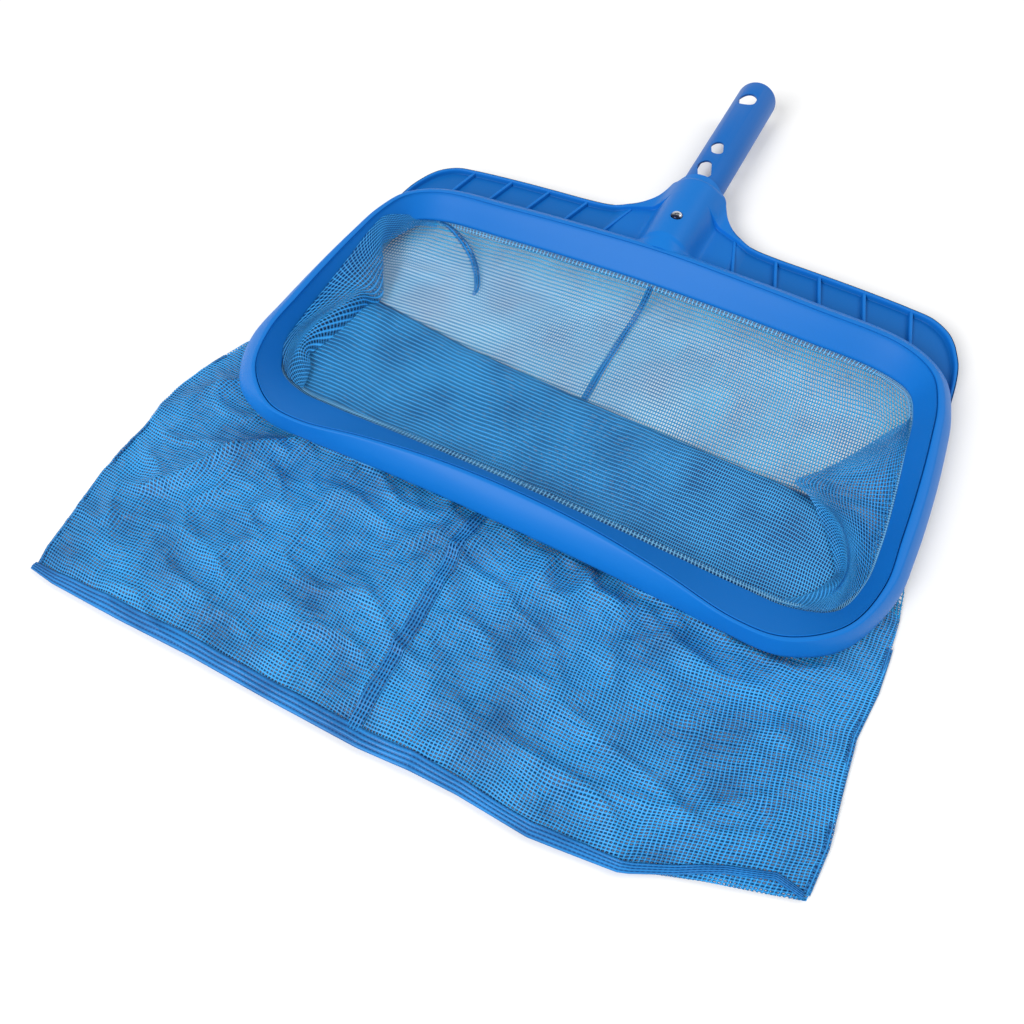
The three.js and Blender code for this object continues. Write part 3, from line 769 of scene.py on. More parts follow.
# %% [markdown]
# The web is a flat moulded plate with a raised border. It could be a box with a socket joined on by
# a boolean, but that leaves a hard line where the real moulding flows, so one skin of rows is
# extruded from the rim to the rear edge, each row lifted to the height found above. The last rows
# turn over the rear edge and run back below.
# %% Skin of the web
FLAT_ROWS = 46
BORDER_ROWS = 20
BORDER_WALL_Z = 14.4
EDGE_ROWS = ((0.9, 0.0), (0.35, 0.12))
rows = []
for share in np.linspace(0, 1, FLAT_ROWS):
    rows.append((start_line + (recess_line - start_line) * share, WEB_TOP))
border_run = np.linalg.norm(edge_line - recess_line, axis=1, keepdims=True)
for out, z in ((0.25, WEB_TOP + 0.3), (0.45, BORDER_WALL_Z), (0.6, BORDER_TOP - 0.5),
               (0.9, BORDER_TOP - 0.1)):
    rows.append((recess_line + (edge_line - recess_line) * np.minimum(out / border_run, 0.5), z))
for share in np.linspace(0.35, 0.86, BORDER_ROWS):
    rows.append((recess_line + (edge_line - recess_line) * share, BORDER_TOP))
middle = np.array([0.0, 120.0])


def inset(line, by):
    """The rear edge drawn in by some tenths of a millimetre."""
    along = np.gradient(line, axis=0)
    along /= np.linalg.norm(along, axis=1, keepdims=True)
    normal = np.stack([-along[:, 1], along[:, 0]], axis=1)
    return line + normal * by


moved_in = np.linalg.norm(inset(edge_line, 1)[10] - middle) < np.linalg.norm(edge_line[10] - middle)
sign = 1 if moved_in else -1
rows += [(inset(edge_line, sign * by), BORDER_TOP - drop) for by, drop in EDGE_ROWS]
bm = bmesh.new()
row = None
for plan, base in rows:
    z = socket_height(plan[:, 0], plan[:, 1], np.full(len(plan), float(base)))
    points = [at(x, y, h) for (x, y), h in zip(plan, z)]
    row = extrude_to(bm, row, points, False) if row else first_row(bm, points, False)
rim_z = z
for by, drop in ((0.08, 0.5), (0.0, 1.2)):
    plan = inset(edge_line, sign * by)
    points = [at(x, y, max(h - drop, WEB_BOTTOM + 1)) for (x, y), h in zip(plan, rim_z)]
    row = extrude_to(bm, row, points, False)
for by, z in ((0.0, WEB_BOTTOM + 0.6), (0.6, WEB_BOTTOM)):
    plan = inset(edge_line, sign * by)
    row = extrude_to(bm, row, [at(x, y, z) for x, y in plan], False)
for share in (0.7, 0.4, 0.0):
    plan = start_line + (edge_line - start_line) * share
    row = extrude_to(bm, row, [at(x, y, WEB_BOTTOM) for x, y in plan], False)
bmesh.ops.remove_doubles(bm, verts=bm.verts, dist=1e-6)
bmesh.ops.holes_fill(bm, edges=[e for e in bm.edges if e.is_boundary], sides=0)
web = finish_mesh(bm, "rear_web", [frame_blue])
print(web.name, len(web.data.polygons), "faces from", len(rows), "rows on top")


# %% [markdown]
# The adapter's bore and the seat of the screw head are cut with booleans, applied at once so that
# the finished mesh is plain geometry.
# %% Bore and screw seat
def cutter(name, radius, start, end, sides):
    """A round bar from start to end, points of the scene."""
    bm = bmesh.new()
    length = (end - start).length
    bmesh.ops.create_cone(bm, cap_ends=True, segments=sides, radius1=radius * MM,
                          radius2=radius * MM, depth=length)
    turn = Vector((0, 0, 1)).rotation_difference(end - start).to_matrix().to_4x4()
    bmesh.ops.transform(bm, matrix=Matrix.Translation((start + end) / 2) @ turn, verts=bm.verts)
    mesh = bpy.data.meshes.new(name)
    bm.to_mesh(mesh)
    bm.free()
    made = bpy.data.objects.new(name, mesh)
    scene.collection.objects.link(made)
    return made


def apply_modifiers(piece):
    """Keep the result of a piece's modifiers as its mesh."""
    graph = bpy.context.evaluated_depsgraph_get()
    baked = bpy.data.meshes.new_from_object(piece.evaluated_get(graph))
    old = piece.data
    piece.modifiers.clear()
    piece.data = baked
    bpy.data.meshes.remove(old)


def boolean(piece, operation, *others):
    """Cut or join the others with the piece, one after the other, and remove them."""
    for other in others:
        modifier = piece.modifiers.new("cut", "BOOLEAN")
        modifier.operation = operation
        modifier.solver = "EXACT"
        modifier.object = other
        apply_modifiers(piece)
        bpy.data.objects.remove(other)


SCREW_Y = 139.5
SCREW_R = 2.0
HEAD_R = 3.9
HEAD_SEAT = 35.4
SEAT_GAP = 0.4
BORE_R = 15.95
BORE_END = 196
CLEAR_Z = 44
bore = cutter("bore", BORE_R, at(0, BARREL_START + 5.5, AXIS_Z), at(0, BORE_END, AXIS_Z), 96)
seat = cutter("seat", HEAD_R + SEAT_GAP, at(0, SCREW_Y, HEAD_SEAT), at(0, SCREW_Y, CLEAR_Z), 48)
boolean(web, "DIFFERENCE", bore, seat)
print("rear web:", len(web.data.polygons), "faces after the cuts")

# %% [markdown]
# Five ribs on each side stiffen the web, and a foot below carries the socket on the floor. Each rib
# is a cube made narrower on top and bevelled along its long edges; ends hidden in border and rim
# need no fillet. Foot and ribs then go into the web's mesh, since the real frame is one moulding.
# %% Ribs, foot and the joined frame
RIBS = [((40.5, 155.5), (52.2, 119)), ((72.8, 150.5), (83.4, 117)), ((104, 149.2), (114.4, 116)),
        ((135.4, 147), (145, 113.5)), ((167.4, 144), (176.4, 106.5))]
RIB_TOP = 15.7
RIB_FOOT = 11.6
RIB_WIDTH = 2.9
RIB_TAPER = 0.72
RIB_ROUND = 0.75


def rib(side, start, end):
    """A tapered, round-topped bar on the web."""
    bm = bmesh.new()
    made = bmesh.ops.create_cube(bm, size=1.0)["verts"]
    ahead = Vector((side * (end[0] - start[0]), end[1] - start[1], 0))
    bmesh.ops.scale(bm, vec=(RIB_WIDTH, ahead.length, RIB_TOP - RIB_FOOT), verts=made)
    for v in made:
        if v.co.z > 0:
            v.co.x *= RIB_TAPER
    long_edges = [e for e in bm.edges if all(v.co.z > 0 for v in e.verts)
                  and abs(e.verts[0].co.y - e.verts[1].co.y) > 1]
    bmesh.ops.bevel(bm, geom=long_edges, offset=RIB_ROUND, affect="EDGES", segments=4, profile=0.5,
                    material=-1)
    turn = Matrix.Rotation(math.atan2(-ahead.x, ahead.y), 4, "Z")
    middle = ((side * (start[0] + end[0]) / 2), (start[1] + end[1]) / 2, (RIB_TOP + RIB_FOOT) / 2)
    bmesh.ops.transform(bm, matrix=Matrix.Translation(middle) @ turn, verts=bm.verts)
    for v in bm.verts:
        v.co = at(*v.co)
    return finish_mesh(bm, "rib", [frame_blue])


FOOT_SIZE = (30, 62, 9)
FOOT_Y_MIDDLE = 155.5
SCREW_GAP = 0.3
bm = bmesh.new()
made = bmesh.ops.create_cube(bm, size=1.0)["verts"]
bmesh.ops.scale(bm, vec=FOOT_SIZE, verts=made)
bmesh.ops.bevel(bm, geom=bm.edges[:], offset=0.8, affect="EDGES", segments=3, profile=0.5, material=-1)
for v in bm.verts:
    v.co = at(v.co.x, v.co.y + FOOT_Y_MIDDLE, v.co.z + FOOT_SIZE[2] / 2)
foot = finish_mesh(bm, "foot", [frame_blue])
boolean(foot, "DIFFERENCE", cutter("bore", BORE_R, at(0, 120, AXIS_Z), at(0, BORE_END, AXIS_Z), 96),
        cutter("screw_hole", SCREW_R + SCREW_GAP, at(0, SCREW_Y, -2), at(0, SCREW_Y, 10), 32))


def join(target, others):
    """Move the faces of the other objects into the target."""
    bm = bmesh.new()
    bm.from_mesh(target.data)
    for other in others:
        bm.from_mesh(other.data)
        bpy.data.objects.remove(other)
    bm.to_mesh(target.data)
    bm.free()
    target.data.polygons.foreach_set("use_smooth", [True] * len(target.data.polygons))


join(web, [foot] + [rib(side, *ends) for ends in RIBS for side in (1, -1)])
web.data.set_sharp_from_angle(angle=math.radians(38))
belongs(web, "frame_plastic")
belongs(rim, "frame_plastic", "frame_body")

# %% [markdown]
# ## Pole adapter
# A C-shaped tube, open below, with a clip hole near its end and two more holes near the socket. Its
# section is bent from arcs, extruded along the pole, and the holes are cut before its edges are
# rounded.
# %% Pole adapter
TUBE_R = 15.7
TUBE_WALL = 2.2
TUBE_OPEN = 74.0
TUBE_START = 126.5
HOLE_X = -1.6
HOLES = [(196.2, 9, 18.5, 18), (221.2, 8, 14, 18), (283.6, 12, 14, 0)]
FLARE = 0.45
SLOT_FROM = 4


def tube_section():
    """Outline of the C, outer arc first."""
    opening = math.radians(TUBE_OPEN)
    turns = np.linspace(-math.pi / 2 + opening, 1.5 * math.pi - opening, 65)
    outline = [(TUBE_R * math.cos(t), TUBE_R * math.sin(t)) for t in turns]
    return outline + [((TUBE_R - TUBE_WALL) * math.cos(t), (TUBE_R - TUBE_WALL) * math.sin(t))
                      for t in turns[::-1]]


bm = bmesh.new()
row = first_row(bm, [at(x, TUBE_START, AXIS_Z + z) for x, z in tube_section()], True)
bm.faces.new(row)
made = bmesh.ops.extrude_face_region(bm, geom=bm.faces[:])["geom"]
far_end = [g for g in made if isinstance(g, bmesh.types.BMVert)]
bmesh.ops.translate(bm, vec=(0, (TUBE_END - TUBE_START) * MM, 0), verts=far_end)
adapter = finish_mesh(bm, "pole_adapter_tube", [adapter_blue])


def slot_cutter(y, width, length, turned):
    """A bar with round ends through the top wall, wider below, so that the wall looks thin."""
    bm = bmesh.new()
    bmesh.ops.create_circle(bm, cap_ends=True, segments=48, radius=1)
    up = bmesh.ops.extrude_face_region(bm, geom=bm.faces[:])["geom"]
    raised = [g for g in up if isinstance(g, bmesh.types.BMVert)]
    bmesh.ops.translate(bm, vec=(0, 0, TUBE_R - 2), verts=raised)
    run = (length - width) / 2
    for v in bm.verts:
        z = v.co.z + SLOT_FROM
        radius = width / 2 + (TUBE_R - z) * FLARE
        v.co = Vector((v.co.x * radius, v.co.y * radius + math.copysign(run, v.co.y), z))
    bmesh.ops.rotate(bm, cent=(0, 0, 0), matrix=Matrix.Rotation(math.radians(turned), 3, "Z"),
                     verts=bm.verts)
    for v in bm.verts:
        v.co = at(v.co.x + HOLE_X, v.co.y + y, v.co.z + AXIS_Z)
    return finish_mesh(bm, "slot", [adapter_blue])


boolean(adapter, "DIFFERENCE", *[slot_cutter(*hole) for hole in HOLES],
        cutter("screw_way", SCREW_R + SCREW_GAP, at(0, SCREW_Y, AXIS_Z), at(0, SCREW_Y, CLEAR_Z), 32))
edge_round = adapter.modifiers.new("rounding", "BEVEL")
edge_round.width = 0.5 * MM
edge_round.segments = 3
edge_round.limit_method = "ANGLE"
edge_round.angle_limit = math.radians(40)
apply_modifiers(adapter)
adapter.data.polygons.foreach_set("use_smooth", [True] * len(adapter.data.polygons))
adapter.data.set_sharp_from_angle(angle=math.radians(50))
belongs(adapter, "adapter_plastic", "pole_adapter")

# %% [markdown]
# ## Screw and nut
# A screw with a low domed head and a cross recess sits in the top of the socket. It is spun from
# half a profile, and the recess is cut by two crossed bars that are narrower at the bottom.
# %% Screw
HEAD_T = 2.5
HEAD_LIFT = 0.3
SCREW_TIP = 0.5
RECESS_BAR = (4.6, 0.9, 2.6)
profile = [(0, SCREW_TIP), (SCREW_R - 0.4, SCREW_TIP), (SCREW_R, SCREW_TIP + 0.4),
           (SCREW_R, HEAD_SEAT + HEAD_LIFT),
           (HEAD_R - 0.15, HEAD_SEAT + HEAD_LIFT), (HEAD_R, HEAD_SEAT + 0.6), (HEAD_R, HEAD_SEAT + 1.0),
           (0.93 * HEAD_R, HEAD_SEAT + 1.7), (0.74 * HEAD_R, HEAD_SEAT + 2.3),
           (0.45 * HEAD_R, HEAD_SEAT + 2.65), (0, HEAD_SEAT + HEAD_LIFT + HEAD_T)]
bm = bmesh.new()
row = first_row(bm, [Vector((r, 0, z)) for r, z in profile], False)
bmesh.ops.spin(bm, geom=bm.verts[:] + bm.edges[:], axis=(0, 0, 1), cent=(0, 0, 0),
               angle=2 * math.pi, steps=48, use_merge=True)
for v in bm.verts:
    v.co = at(v.co.x, v.co.y + SCREW_Y, v.co.z)
screw = finish_mesh(bm, "cross_head_screw", [steel])


def cross_bar(turned):
    """One bar of the cross recess, sunk into the top of the head."""
    bm = bmesh.new()
    made = bmesh.ops.create_cube(bm, size=1.0)["verts"]
    bmesh.ops.scale(bm, vec=RECESS_BAR, verts=made)
    for v in made:
        if v.co.z < 0:
            v.co.x *= 0.45
    bmesh.ops.rotate(bm, cent=(0, 0, 0), matrix=Matrix.Rotation(math.radians(turned), 3, "Z"), verts=made)
    for v in bm.verts:
        v.co = at(v.co.x, v.co.y + SCREW_Y, v.co.z + HEAD_SEAT + HEAD_LIFT + HEAD_T)
    return finish_mesh(bm, "cross_bar", [steel])


boolean(screw, "DIFFERENCE", cross_bar(28), cross_bar(118))
screw.data.polygons.foreach_set("use_smooth", [True] * len(screw.data.polygons))
screw.data.set_sharp_from_angle(angle=math.radians(35))
belongs(screw, "screw_steel", "socket_screw")

# %% [markdown]
# The nut lies at the bottom of the socket's bore, where the screw ends. It is a cone operator with
# six sides and equal radii, bevelled a little, and its corners set how low it can sit in the round
# bore.
# %% Nut
NUT_R = 4.05
NUT_T = 3.2
NUT_SEAT_R = 16.0
NUT_LIFT = 0.3
NUT_ROUND = 0.25
NUT_Z = AXIS_Z - math.sqrt(NUT_SEAT_R ** 2 - NUT_R ** 2) + NUT_LIFT
bm = bmesh.new()
bmesh.ops.create_cone(bm, cap_ends=True, segments=6, radius1=NUT_R * MM, radius2=NUT_R * MM,
                      depth=NUT_T * MM)
bmesh.ops.bevel(bm, geom=bm.edges[:], offset=NUT_ROUND * MM, affect="EDGES", segments=2, profile=0.5,
                material=-1)
bmesh.ops.translate(bm, vec=at(0, SCREW_Y, NUT_Z + NUT_T / 2), verts=bm.verts)
nut = finish_mesh(bm, "hexagon_nut", [steel])
boolean(nut, "DIFFERENCE", cutter("thread", SCREW_R + 0.1, at(0, SCREW_Y, 0), at(0, SCREW_Y, 10), 32))
nut.data.set_sharp_from_angle(angle=math.radians(35))
belongs(nut, "screw_steel", "socket_nut")

# %% [markdown]
# ## The bag
# The bag is sewn from a long panel that starts at the rear edge of the mouth and lies on the floor,
# and a slack front panel that is drawn back inside the mouth, folds under itself and runs forward.
# Both end in the rolled seam. The bag lies a little askew, so its left and right edges are drawn
# apart, each as pairs of y and x; the end, the rear edge and the fold are pairs of x and y.
# %% Outline of the bag on the floor
LEFT_EDGE = [
    (92, -183), (80, -187), (60, -200), (20, -204), (-10, -206), (-40, -220), (-68, -238),
    (-92, -248),
    (-117, -255), (-136, -257), (-156, -255), (-175, -256), (-200, -256), (-214, -254),
    (-235, -251), (-255, -249), (-271, -245)]
RIGHT_EDGE = [
    (92, 183), (80, 187), (60, 197), (20, 201), (-10, 205), (-35, 214), (-50, 220), (-66, 223),
    (-91, 224),
    (-111, 224), (-139, 221), (-170, 223), (-196, 225), (-225, 223), (-271, 219)]
END_EDGE = [
    (-250, -270), (-227, -271.5), (-175, -270), (-118, -267), (-66, -266), (-6, -264), (26, -260.5),
    (53, -259), (94, -259.5), (111, -257), (140, -252.5), (177, -238), (205, -228.5), (223, -222)]
REAR_EDGE = [(-185, 74), (-163, 85.5), (-112, 89.3), (-56, 91.8), (0, 93), (56, 91.8), (112, 89.3),
             (163, 85.5), (185, 74)]
FRONT_EDGE_Y = -89.5
FOLD_LINE = [(-190, 10), (-173, 7), (-90, -3), (5, -8), (97, -11), (148, -12), (190, -16)]
BAG_WIDTH = 480
REAR_LEFT = -183
REAR_RUN = 366
FOLD_LEFT = -188
FOLD_RUN = 378
END_LEFT = -247
END_RUN = 468
LIP_Y = -84.0


def along_line(table, value):
    """Straight reading of a list of (place, value) pairs, in either order."""
    ordered = sorted(table)
    return float(np.interp(value, [p for p, _ in ordered], [v for _, v in ordered]))


def bag_x(share, y):
    """Place across the bag at y, for a share of its width from 0 at the left to 1 at the right."""
    left, right_side = along_line(LEFT_EDGE, y), along_line(RIGHT_EDGE, y)
    return left + (right_side - left) * share


print("free end of the bag:", END_LEFT, "to", END_LEFT + END_RUN, "mm")

# %% [markdown]
# Wrinkles are soft ridges in the cloth. A cloth simulation could make them, but not in the places
# where this bag has them, so the clear creases follow short chosen lines, each with its height and
# width, and noise from broad to fine fills in between. Towards the side edges and the rolled seam
# the panels below use less and less of this height.
# %% Wrinkles
CREASES = [
    ([(-147, -116), (-170, -138), (-186, -151), (-203, -178), (-230, -206)], 6.5, 4.5),
    ([(-206, -92), (-217, -99), (-233, -115), (-245, -131)], 5.0, 4.0),
    ([(-18, -121), (-36, -142), (-50, -157), (-58, -170)], 4.2, 5.0),
    ([(2, -116), (-20, -143), (-41, -167), (-52, -184)], 3.4, 4.5),
    ([(-106, -120), (-106, -142), (-81, -148), (-72, -170)], 2.6, 7.0),
    ([(-229, -216), (-173, -206), (-144, -213), (-98, -231)], 2.4, 6.0),
    ([(-102, -219), (-56, -213), (-20, -222)], 2.2, 6.0),
    ([(30, -122), (27, -162), (42, -176), (54, -184)], 3.6, 6.0),
    ([(54, -204), (80, -198), (106, -196), (150, -200)], 2.6, 6.0),
    ([(112, -222), (128, -221), (161, -214), (188, -189), (205, -180)], 3.6, 4.0),
    ([(20, -224), (56, -224), (105, -225), (133, -231)], 2.6, 4.5),
    ([(60, -120), (66, -128), (84, -130), (93, -124)], 5.0, 5.0),
    ([(96, -124), (118, -136), (150, -142), (185, -134)], 4.2, 6.0),
    ([(-84, -176), (-60, -190), (-30, -192)], 2.0, 7.0),
    ([(-190, -226), (-160, -236), (-120, -240)], 1.6, 6.0),
    ([(60, -150), (92, -158), (130, -160)], 1.8, 8.0),
    ([(150, -232), (190, -214), (210, -204)], 2.0, 5.0),
]
LOFT = 2.2
BROAD_TALL = 3.8
MEDIUM_TALL = 1.2
RIDGE_TALL = 3.6
FINE_TALL = 1.3
CREASE_GAIN = 1.3
CREASE_REACH = 5


def crease_height(x, y, creases):
    """Sharp folds of the slack cloth, each along a short line of points."""
    height = 0.0
    for line, tall, wide in creases:
        nearest, place = 1e9, 0.0
        for k in range(len(line) - 1):
            (x0, y0), (x1, y1) = line[k], line[k + 1]
            dx, dy = x1 - x0, y1 - y0
            run = min(max(((x - x0) * dx + (y - y0) * dy) / (dx * dx + dy * dy), 0), 1)
            away = math.hypot(x - x0 - run * dx, y - y0 - run * dy)
            if away < nearest:
                nearest, place = away, (k + run) / (len(line) - 1)
        if nearest < CREASE_REACH * wide:
            ends = math.sin(math.pi * min(0.12 + place * 0.9, 1)) ** 0.6
            height += tall * ends * math.exp(-nearest / wide)
    return height


def wrinkle(x, y):
    """Height of the loose cloth over the floor in front of the mouth, in millimetres."""
    broad = noise.noise(Vector((x / 58, y / 44, 3.1)))
    medium = noise.noise(Vector((x / 27 + y / 60, y / 21, 7.7)))
    ridge = 1 - abs(noise.noise(Vector((x / 52 + y / 44, y / 33 - x / 90, 11.3)))) * 3.2
    fine = 1 - abs(noise.noise(Vector((x / 23 - y / 50, y / 17 + x / 60, 4.9)))) * 4
    loose = (LOFT + BROAD_TALL * broad + MEDIUM_TALL * medium + RIDGE_TALL * max(ridge, 0) ** 2
             + FINE_TALL * max(fine, 0) ** 2)
    return max(0.0, loose) + CREASE_GAIN * crease_height(x, y, CREASES)


print(len(CREASES), "creases; on one of them the bag is", round(wrinkle(-186, -151), 1), "mm high")


# %% [markdown]
# Every sheet of the bag is a grid in flat cloth measure: each point knows its place on the flat
# cloth, which gives the UV map, and where that place lies in the bag. So the knit follows the folds
# as it does on real cloth, and one helper makes all the sheets.
# %% Cloth helper
def cloth(name, columns, rows, flat, place, materials, first_share=0.0):
    """A sheet: flat(s, t) gives the point on the flat cloth, place(s, t) where it lies.

    Up to first_share of its length the sheet has the second of its materials."""
    bm = bmesh.new()
    bmesh.ops.create_grid(bm, x_segments=columns, y_segments=rows, size=0.5)
    layer = bm.loops.layers.uv.new("cloth")
    share = {v: (v.co.x + 0.5, v.co.y + 0.5) for v in bm.verts}
    for face in bm.faces:
        for corner in face.loops:
            x, y = flat(*share[corner.vert])
            corner[layer].uv = (x * MM, y * MM)
        face.material_index = int(max(share[v][1] for v in face.verts) < first_share)
    for v, (s, t) in share.items():
        v.co = at(*place(s, t))
    return finish_mesh(bm, name, materials)


def area_of(piece):
    """Area of all faces of a piece."""
    return sum(p.area for p in piece.data.polygons)


print("flat cloth:", BAG_WIDTH, "mm wide")


# %% [markdown]
# The long panel: it hangs from the rear edge, reaches the floor after a short slope and lies there
# as the lower layer of the bag, left and right half sewn together in the middle.
# %% Long panel
REAR_Z = 11.6
PANEL_LENGTH = 356.0
SLOPE = 34.0
LOWER_Z = 0.7
CORNER_Y = -70
CORNER_LIFT = 9.0
CORNER_RUN = 22
LOWER_WRINKLES_Y = -90
LOWER_SHARE = 0.22
REAR_CREASES = [
    ([(-171, 84), (-158, 84), (-146, 81), (-134, 75), (-125, 66), (-118, 57), (-113, 48), (-112, 40)],
     3.6, 1.8),
    ([(-176, 44), (-155, 47), (-138, 50), (-128, 56)], 1.8, 4.0),
    ([(-128, 8), (-112, 16), (-92, 18), (-70, 26)], 1.6, 5.0),
    ([(150, 70), (172, 62), (188, 50)], 2.2, 4.0),
    ([(60, 40), (100, 34), (140, 38)], 1.2, 8.0),
]


def long_panel(share, run):
    """share: 0 left to 1 right; run: 0 at the rear edge to 1 at the rolled seam."""
    x_rear = REAR_LEFT + REAR_RUN * share
    x_end = END_LEFT + END_RUN * share
    y_rear = along_line(REAR_EDGE, x_rear)
    y_end = along_line(END_EDGE, x_end)
    y = y_rear + (y_end - y_rear) * run
    x = bag_x(share, y)
    down = max(0.0, 1 - (y_rear - y) / SLOPE)
    z = LOWER_Z + (REAR_Z - LOWER_Z) * down ** 1.7
    side = max(0.0, 1 - min(share, 1 - share) * REAR_RUN / CORNER_RUN)
    if y > CORNER_Y:
        z += CORNER_LIFT * side ** 2 * (1 - down) * min(1, (y - CORNER_Y) / 40)
    inside = 0.9 * (noise.noise(Vector((x / 42, y / 60, 0.4))) + 0.35) * (1 - down)
    if y > LOWER_WRINKLES_Y:
        z += max(inside, 0)
    else:
        z += LOWER_SHARE * wrinkle(x, y) * min(1, (LOWER_WRINKLES_Y - y) / 20)
    if y > 0:
        z += crease_height(x, y, REAR_CREASES)
    return x, y, z


def half_flat(side):
    """Flat cloth of one half of the long panel, in millimetres from the middle of the bag."""
    def flat(s, t):
        share = 0.5 * s + (0.5 if side > 0 else 0)
        return (share - 0.5) * BAG_WIDTH, t * PANEL_LENGTH
    return flat


def half_place(side):
    """Where the points of that half lie."""
    def place(s, t):
        return long_panel(0.5 * s + (0.5 if side > 0 else 0), t)
    return place


for side, word in ((-1, "left"), (1, "right")):
    piece = cloth(f"long_panel_{word}", 80, 120, half_flat(side), half_place(side), [back_net])
    belongs(piece, "net_mesh", f"net_back_{word}")
    print(piece.name, round(area_of(piece), 4), "m2")

# %% [markdown]
# The rear net has one sharp fold near its left end, which shows as a dark arc. A ridge in the panel
# alone stays as light as the net round it, so a narrow strip of the darker seam cloth lies along
# the ridge, widest in the middle and fading out at both ends: doubled cloth, and painted shade of
# the fold.
# %% Folds in the rear net
FOLD_STEPS = 60
REAR_FOLDS = [
    ("arc_fold", [(-166, 86, 0), (-156, 84.5, 0), (-144, 80, 0), (-134, 74, 0), (-125, 66, 0),
                  (-118, 57, 0), (-113, 48, 0), (-112, 41, 0)], 5.0, 1.5, seam_net),
]


def on_long_panel(x, y):
    """The point of the long panel at this place of the plan."""
    left, right = along_line(LEFT_EDGE, y), along_line(RIGHT_EDGE, y)
    share = (x - left) / (right - left)
    y_rear = along_line(REAR_EDGE, REAR_LEFT + REAR_RUN * share)
    y_end = along_line(END_EDGE, END_LEFT + END_RUN * share)
    return long_panel(share, (y_rear - y) / (y_rear - y_end))


for name, points, width, tall, material in REAR_FOLDS:
    line = spline(points, FOLD_STEPS + 1, False)
    length = float(np.linalg.norm(np.diff(line, axis=0), axis=1).sum())

    def fold_place(s, t, line=line, width=width, tall=tall):
        i = int(round(t * FOLD_STEPS))
        ahead = line[min(i + 1, FOLD_STEPS)] - line[max(i - 1, 0)]
        ahead = ahead / np.linalg.norm(ahead)
        reach = width * (0.35 + 0.65 * math.sin(math.pi * t) ** 0.6) * (s - 0.5)
        x, y, z = on_long_panel(line[i][0] - ahead[1] * reach, line[i][1] + ahead[0] * reach)
        return x, y, z + 0.5 + tall * math.sin(math.pi * s) * math.sin(math.pi * t) ** 0.5

    fold = cloth(name, 6, FOLD_STEPS, lambda s, t: (s * width, t * length), fold_place, [material])
    belongs(fold, "net_mesh")
    print(name, round(length), "mm")

# %% [markdown]
# The front panel: from the front edge of the mouth it slopes back into the bag, turns under at the
# fold line and runs forward as the upper layer of the bag, which shows all the wrinkles.
# %% Front panel
FRONT_Z = 10.6
HUNG_Z = 7.2
LYING_Z = 2.3
TOP_SHARE = 0.26
TURN = 2.1
SEAM_CALM = 22
EDGE_CALM = 26


def lying_height(x, y, share, y_end):
    """Height of the upper layer of the bag over the floor, in front of the mouth."""
    calm = min(1.0, (y - y_end) / SEAM_CALM) if y > y_end else 0
    edge = min(1.0, min(share, 1 - share) * END_RUN / EDGE_CALM)
    return LYING_Z + (wrinkle(x, y) * min(1, (LIP_Y - y) / 26) * (0.25 + 0.75 * edge)
                      * (0.2 + 0.8 * calm))


def front_panel(share, run):
    """share: 0 left to 1 right; run: 0 at the front edge of the mouth to 1 at the rolled seam."""
    if run < TOP_SHARE:
        back_share = run / TOP_SHARE
        x = FOLD_LEFT + FOLD_RUN * share
        y_fold = along_line(FOLD_LINE, x)
        pull = 1 - (2 * abs(share - 0.5)) ** 10 * 0.10
        y = FRONT_EDGE_Y + (y_fold - FRONT_EDGE_Y) * back_share ** 1.05 * pull
        z = HUNG_Z + (FRONT_Z - HUNG_Z) * max(0.0, 1 - back_share * 4.2) ** 1.6
        z += 0.8 * noise.noise(Vector((x / 30, y / 26, 5.0))) * min(1, back_share * 3)
        lower = max(0.0, (back_share - 0.86) / 0.14)
        return x, y, z - (HUNG_Z - 2.4 - TURN) * lower ** 2
    forward = (run - TOP_SHARE) / (1 - TOP_SHARE)
    x_end = END_LEFT + END_RUN * share
    x_fold = FOLD_LEFT + FOLD_RUN * share
    y_fold, y_end = along_line(FOLD_LINE, x_fold), along_line(END_EDGE, x_end)
    y = y_fold + (y_end - y_fold) * forward
    x = bag_x(share, y)
    x = x_fold + (x - x_fold) * min(1, forward * 5)
    z = LYING_Z
    if y < LIP_Y:
        z = lying_height(x, y, share, y_end)
    return x, y, z


def front_flat(side):
    """Flat cloth of one half of the front panel, a little askew, so that no row runs straight."""
    def flat(s, t):
        share = 0.5 * s + (0.5 if side > 0 else 0)
        skew = 2.0 * math.sin(share * 9) + 1.5 * math.sin(t * 11)
        return (share - 0.5) * BAG_WIDTH + skew, t * PANEL_LENGTH + 3.0 * math.sin(share * 6)
    return flat


for side, word in ((-1, "left"), (1, "right")):
    def front_place(s, t, side=side):
        return front_panel(0.5 * s + (0.5 if side > 0 else 0), t)
    piece = cloth(f"front_panel_{word}", 90, 150, front_flat(side), front_place,
                  [front_net, drawn_net], TOP_SHARE + 0.01)
    belongs(piece, "net_mesh", f"net_front_{word}")
    print(piece.name, round(area_of(piece), 4), "m2")

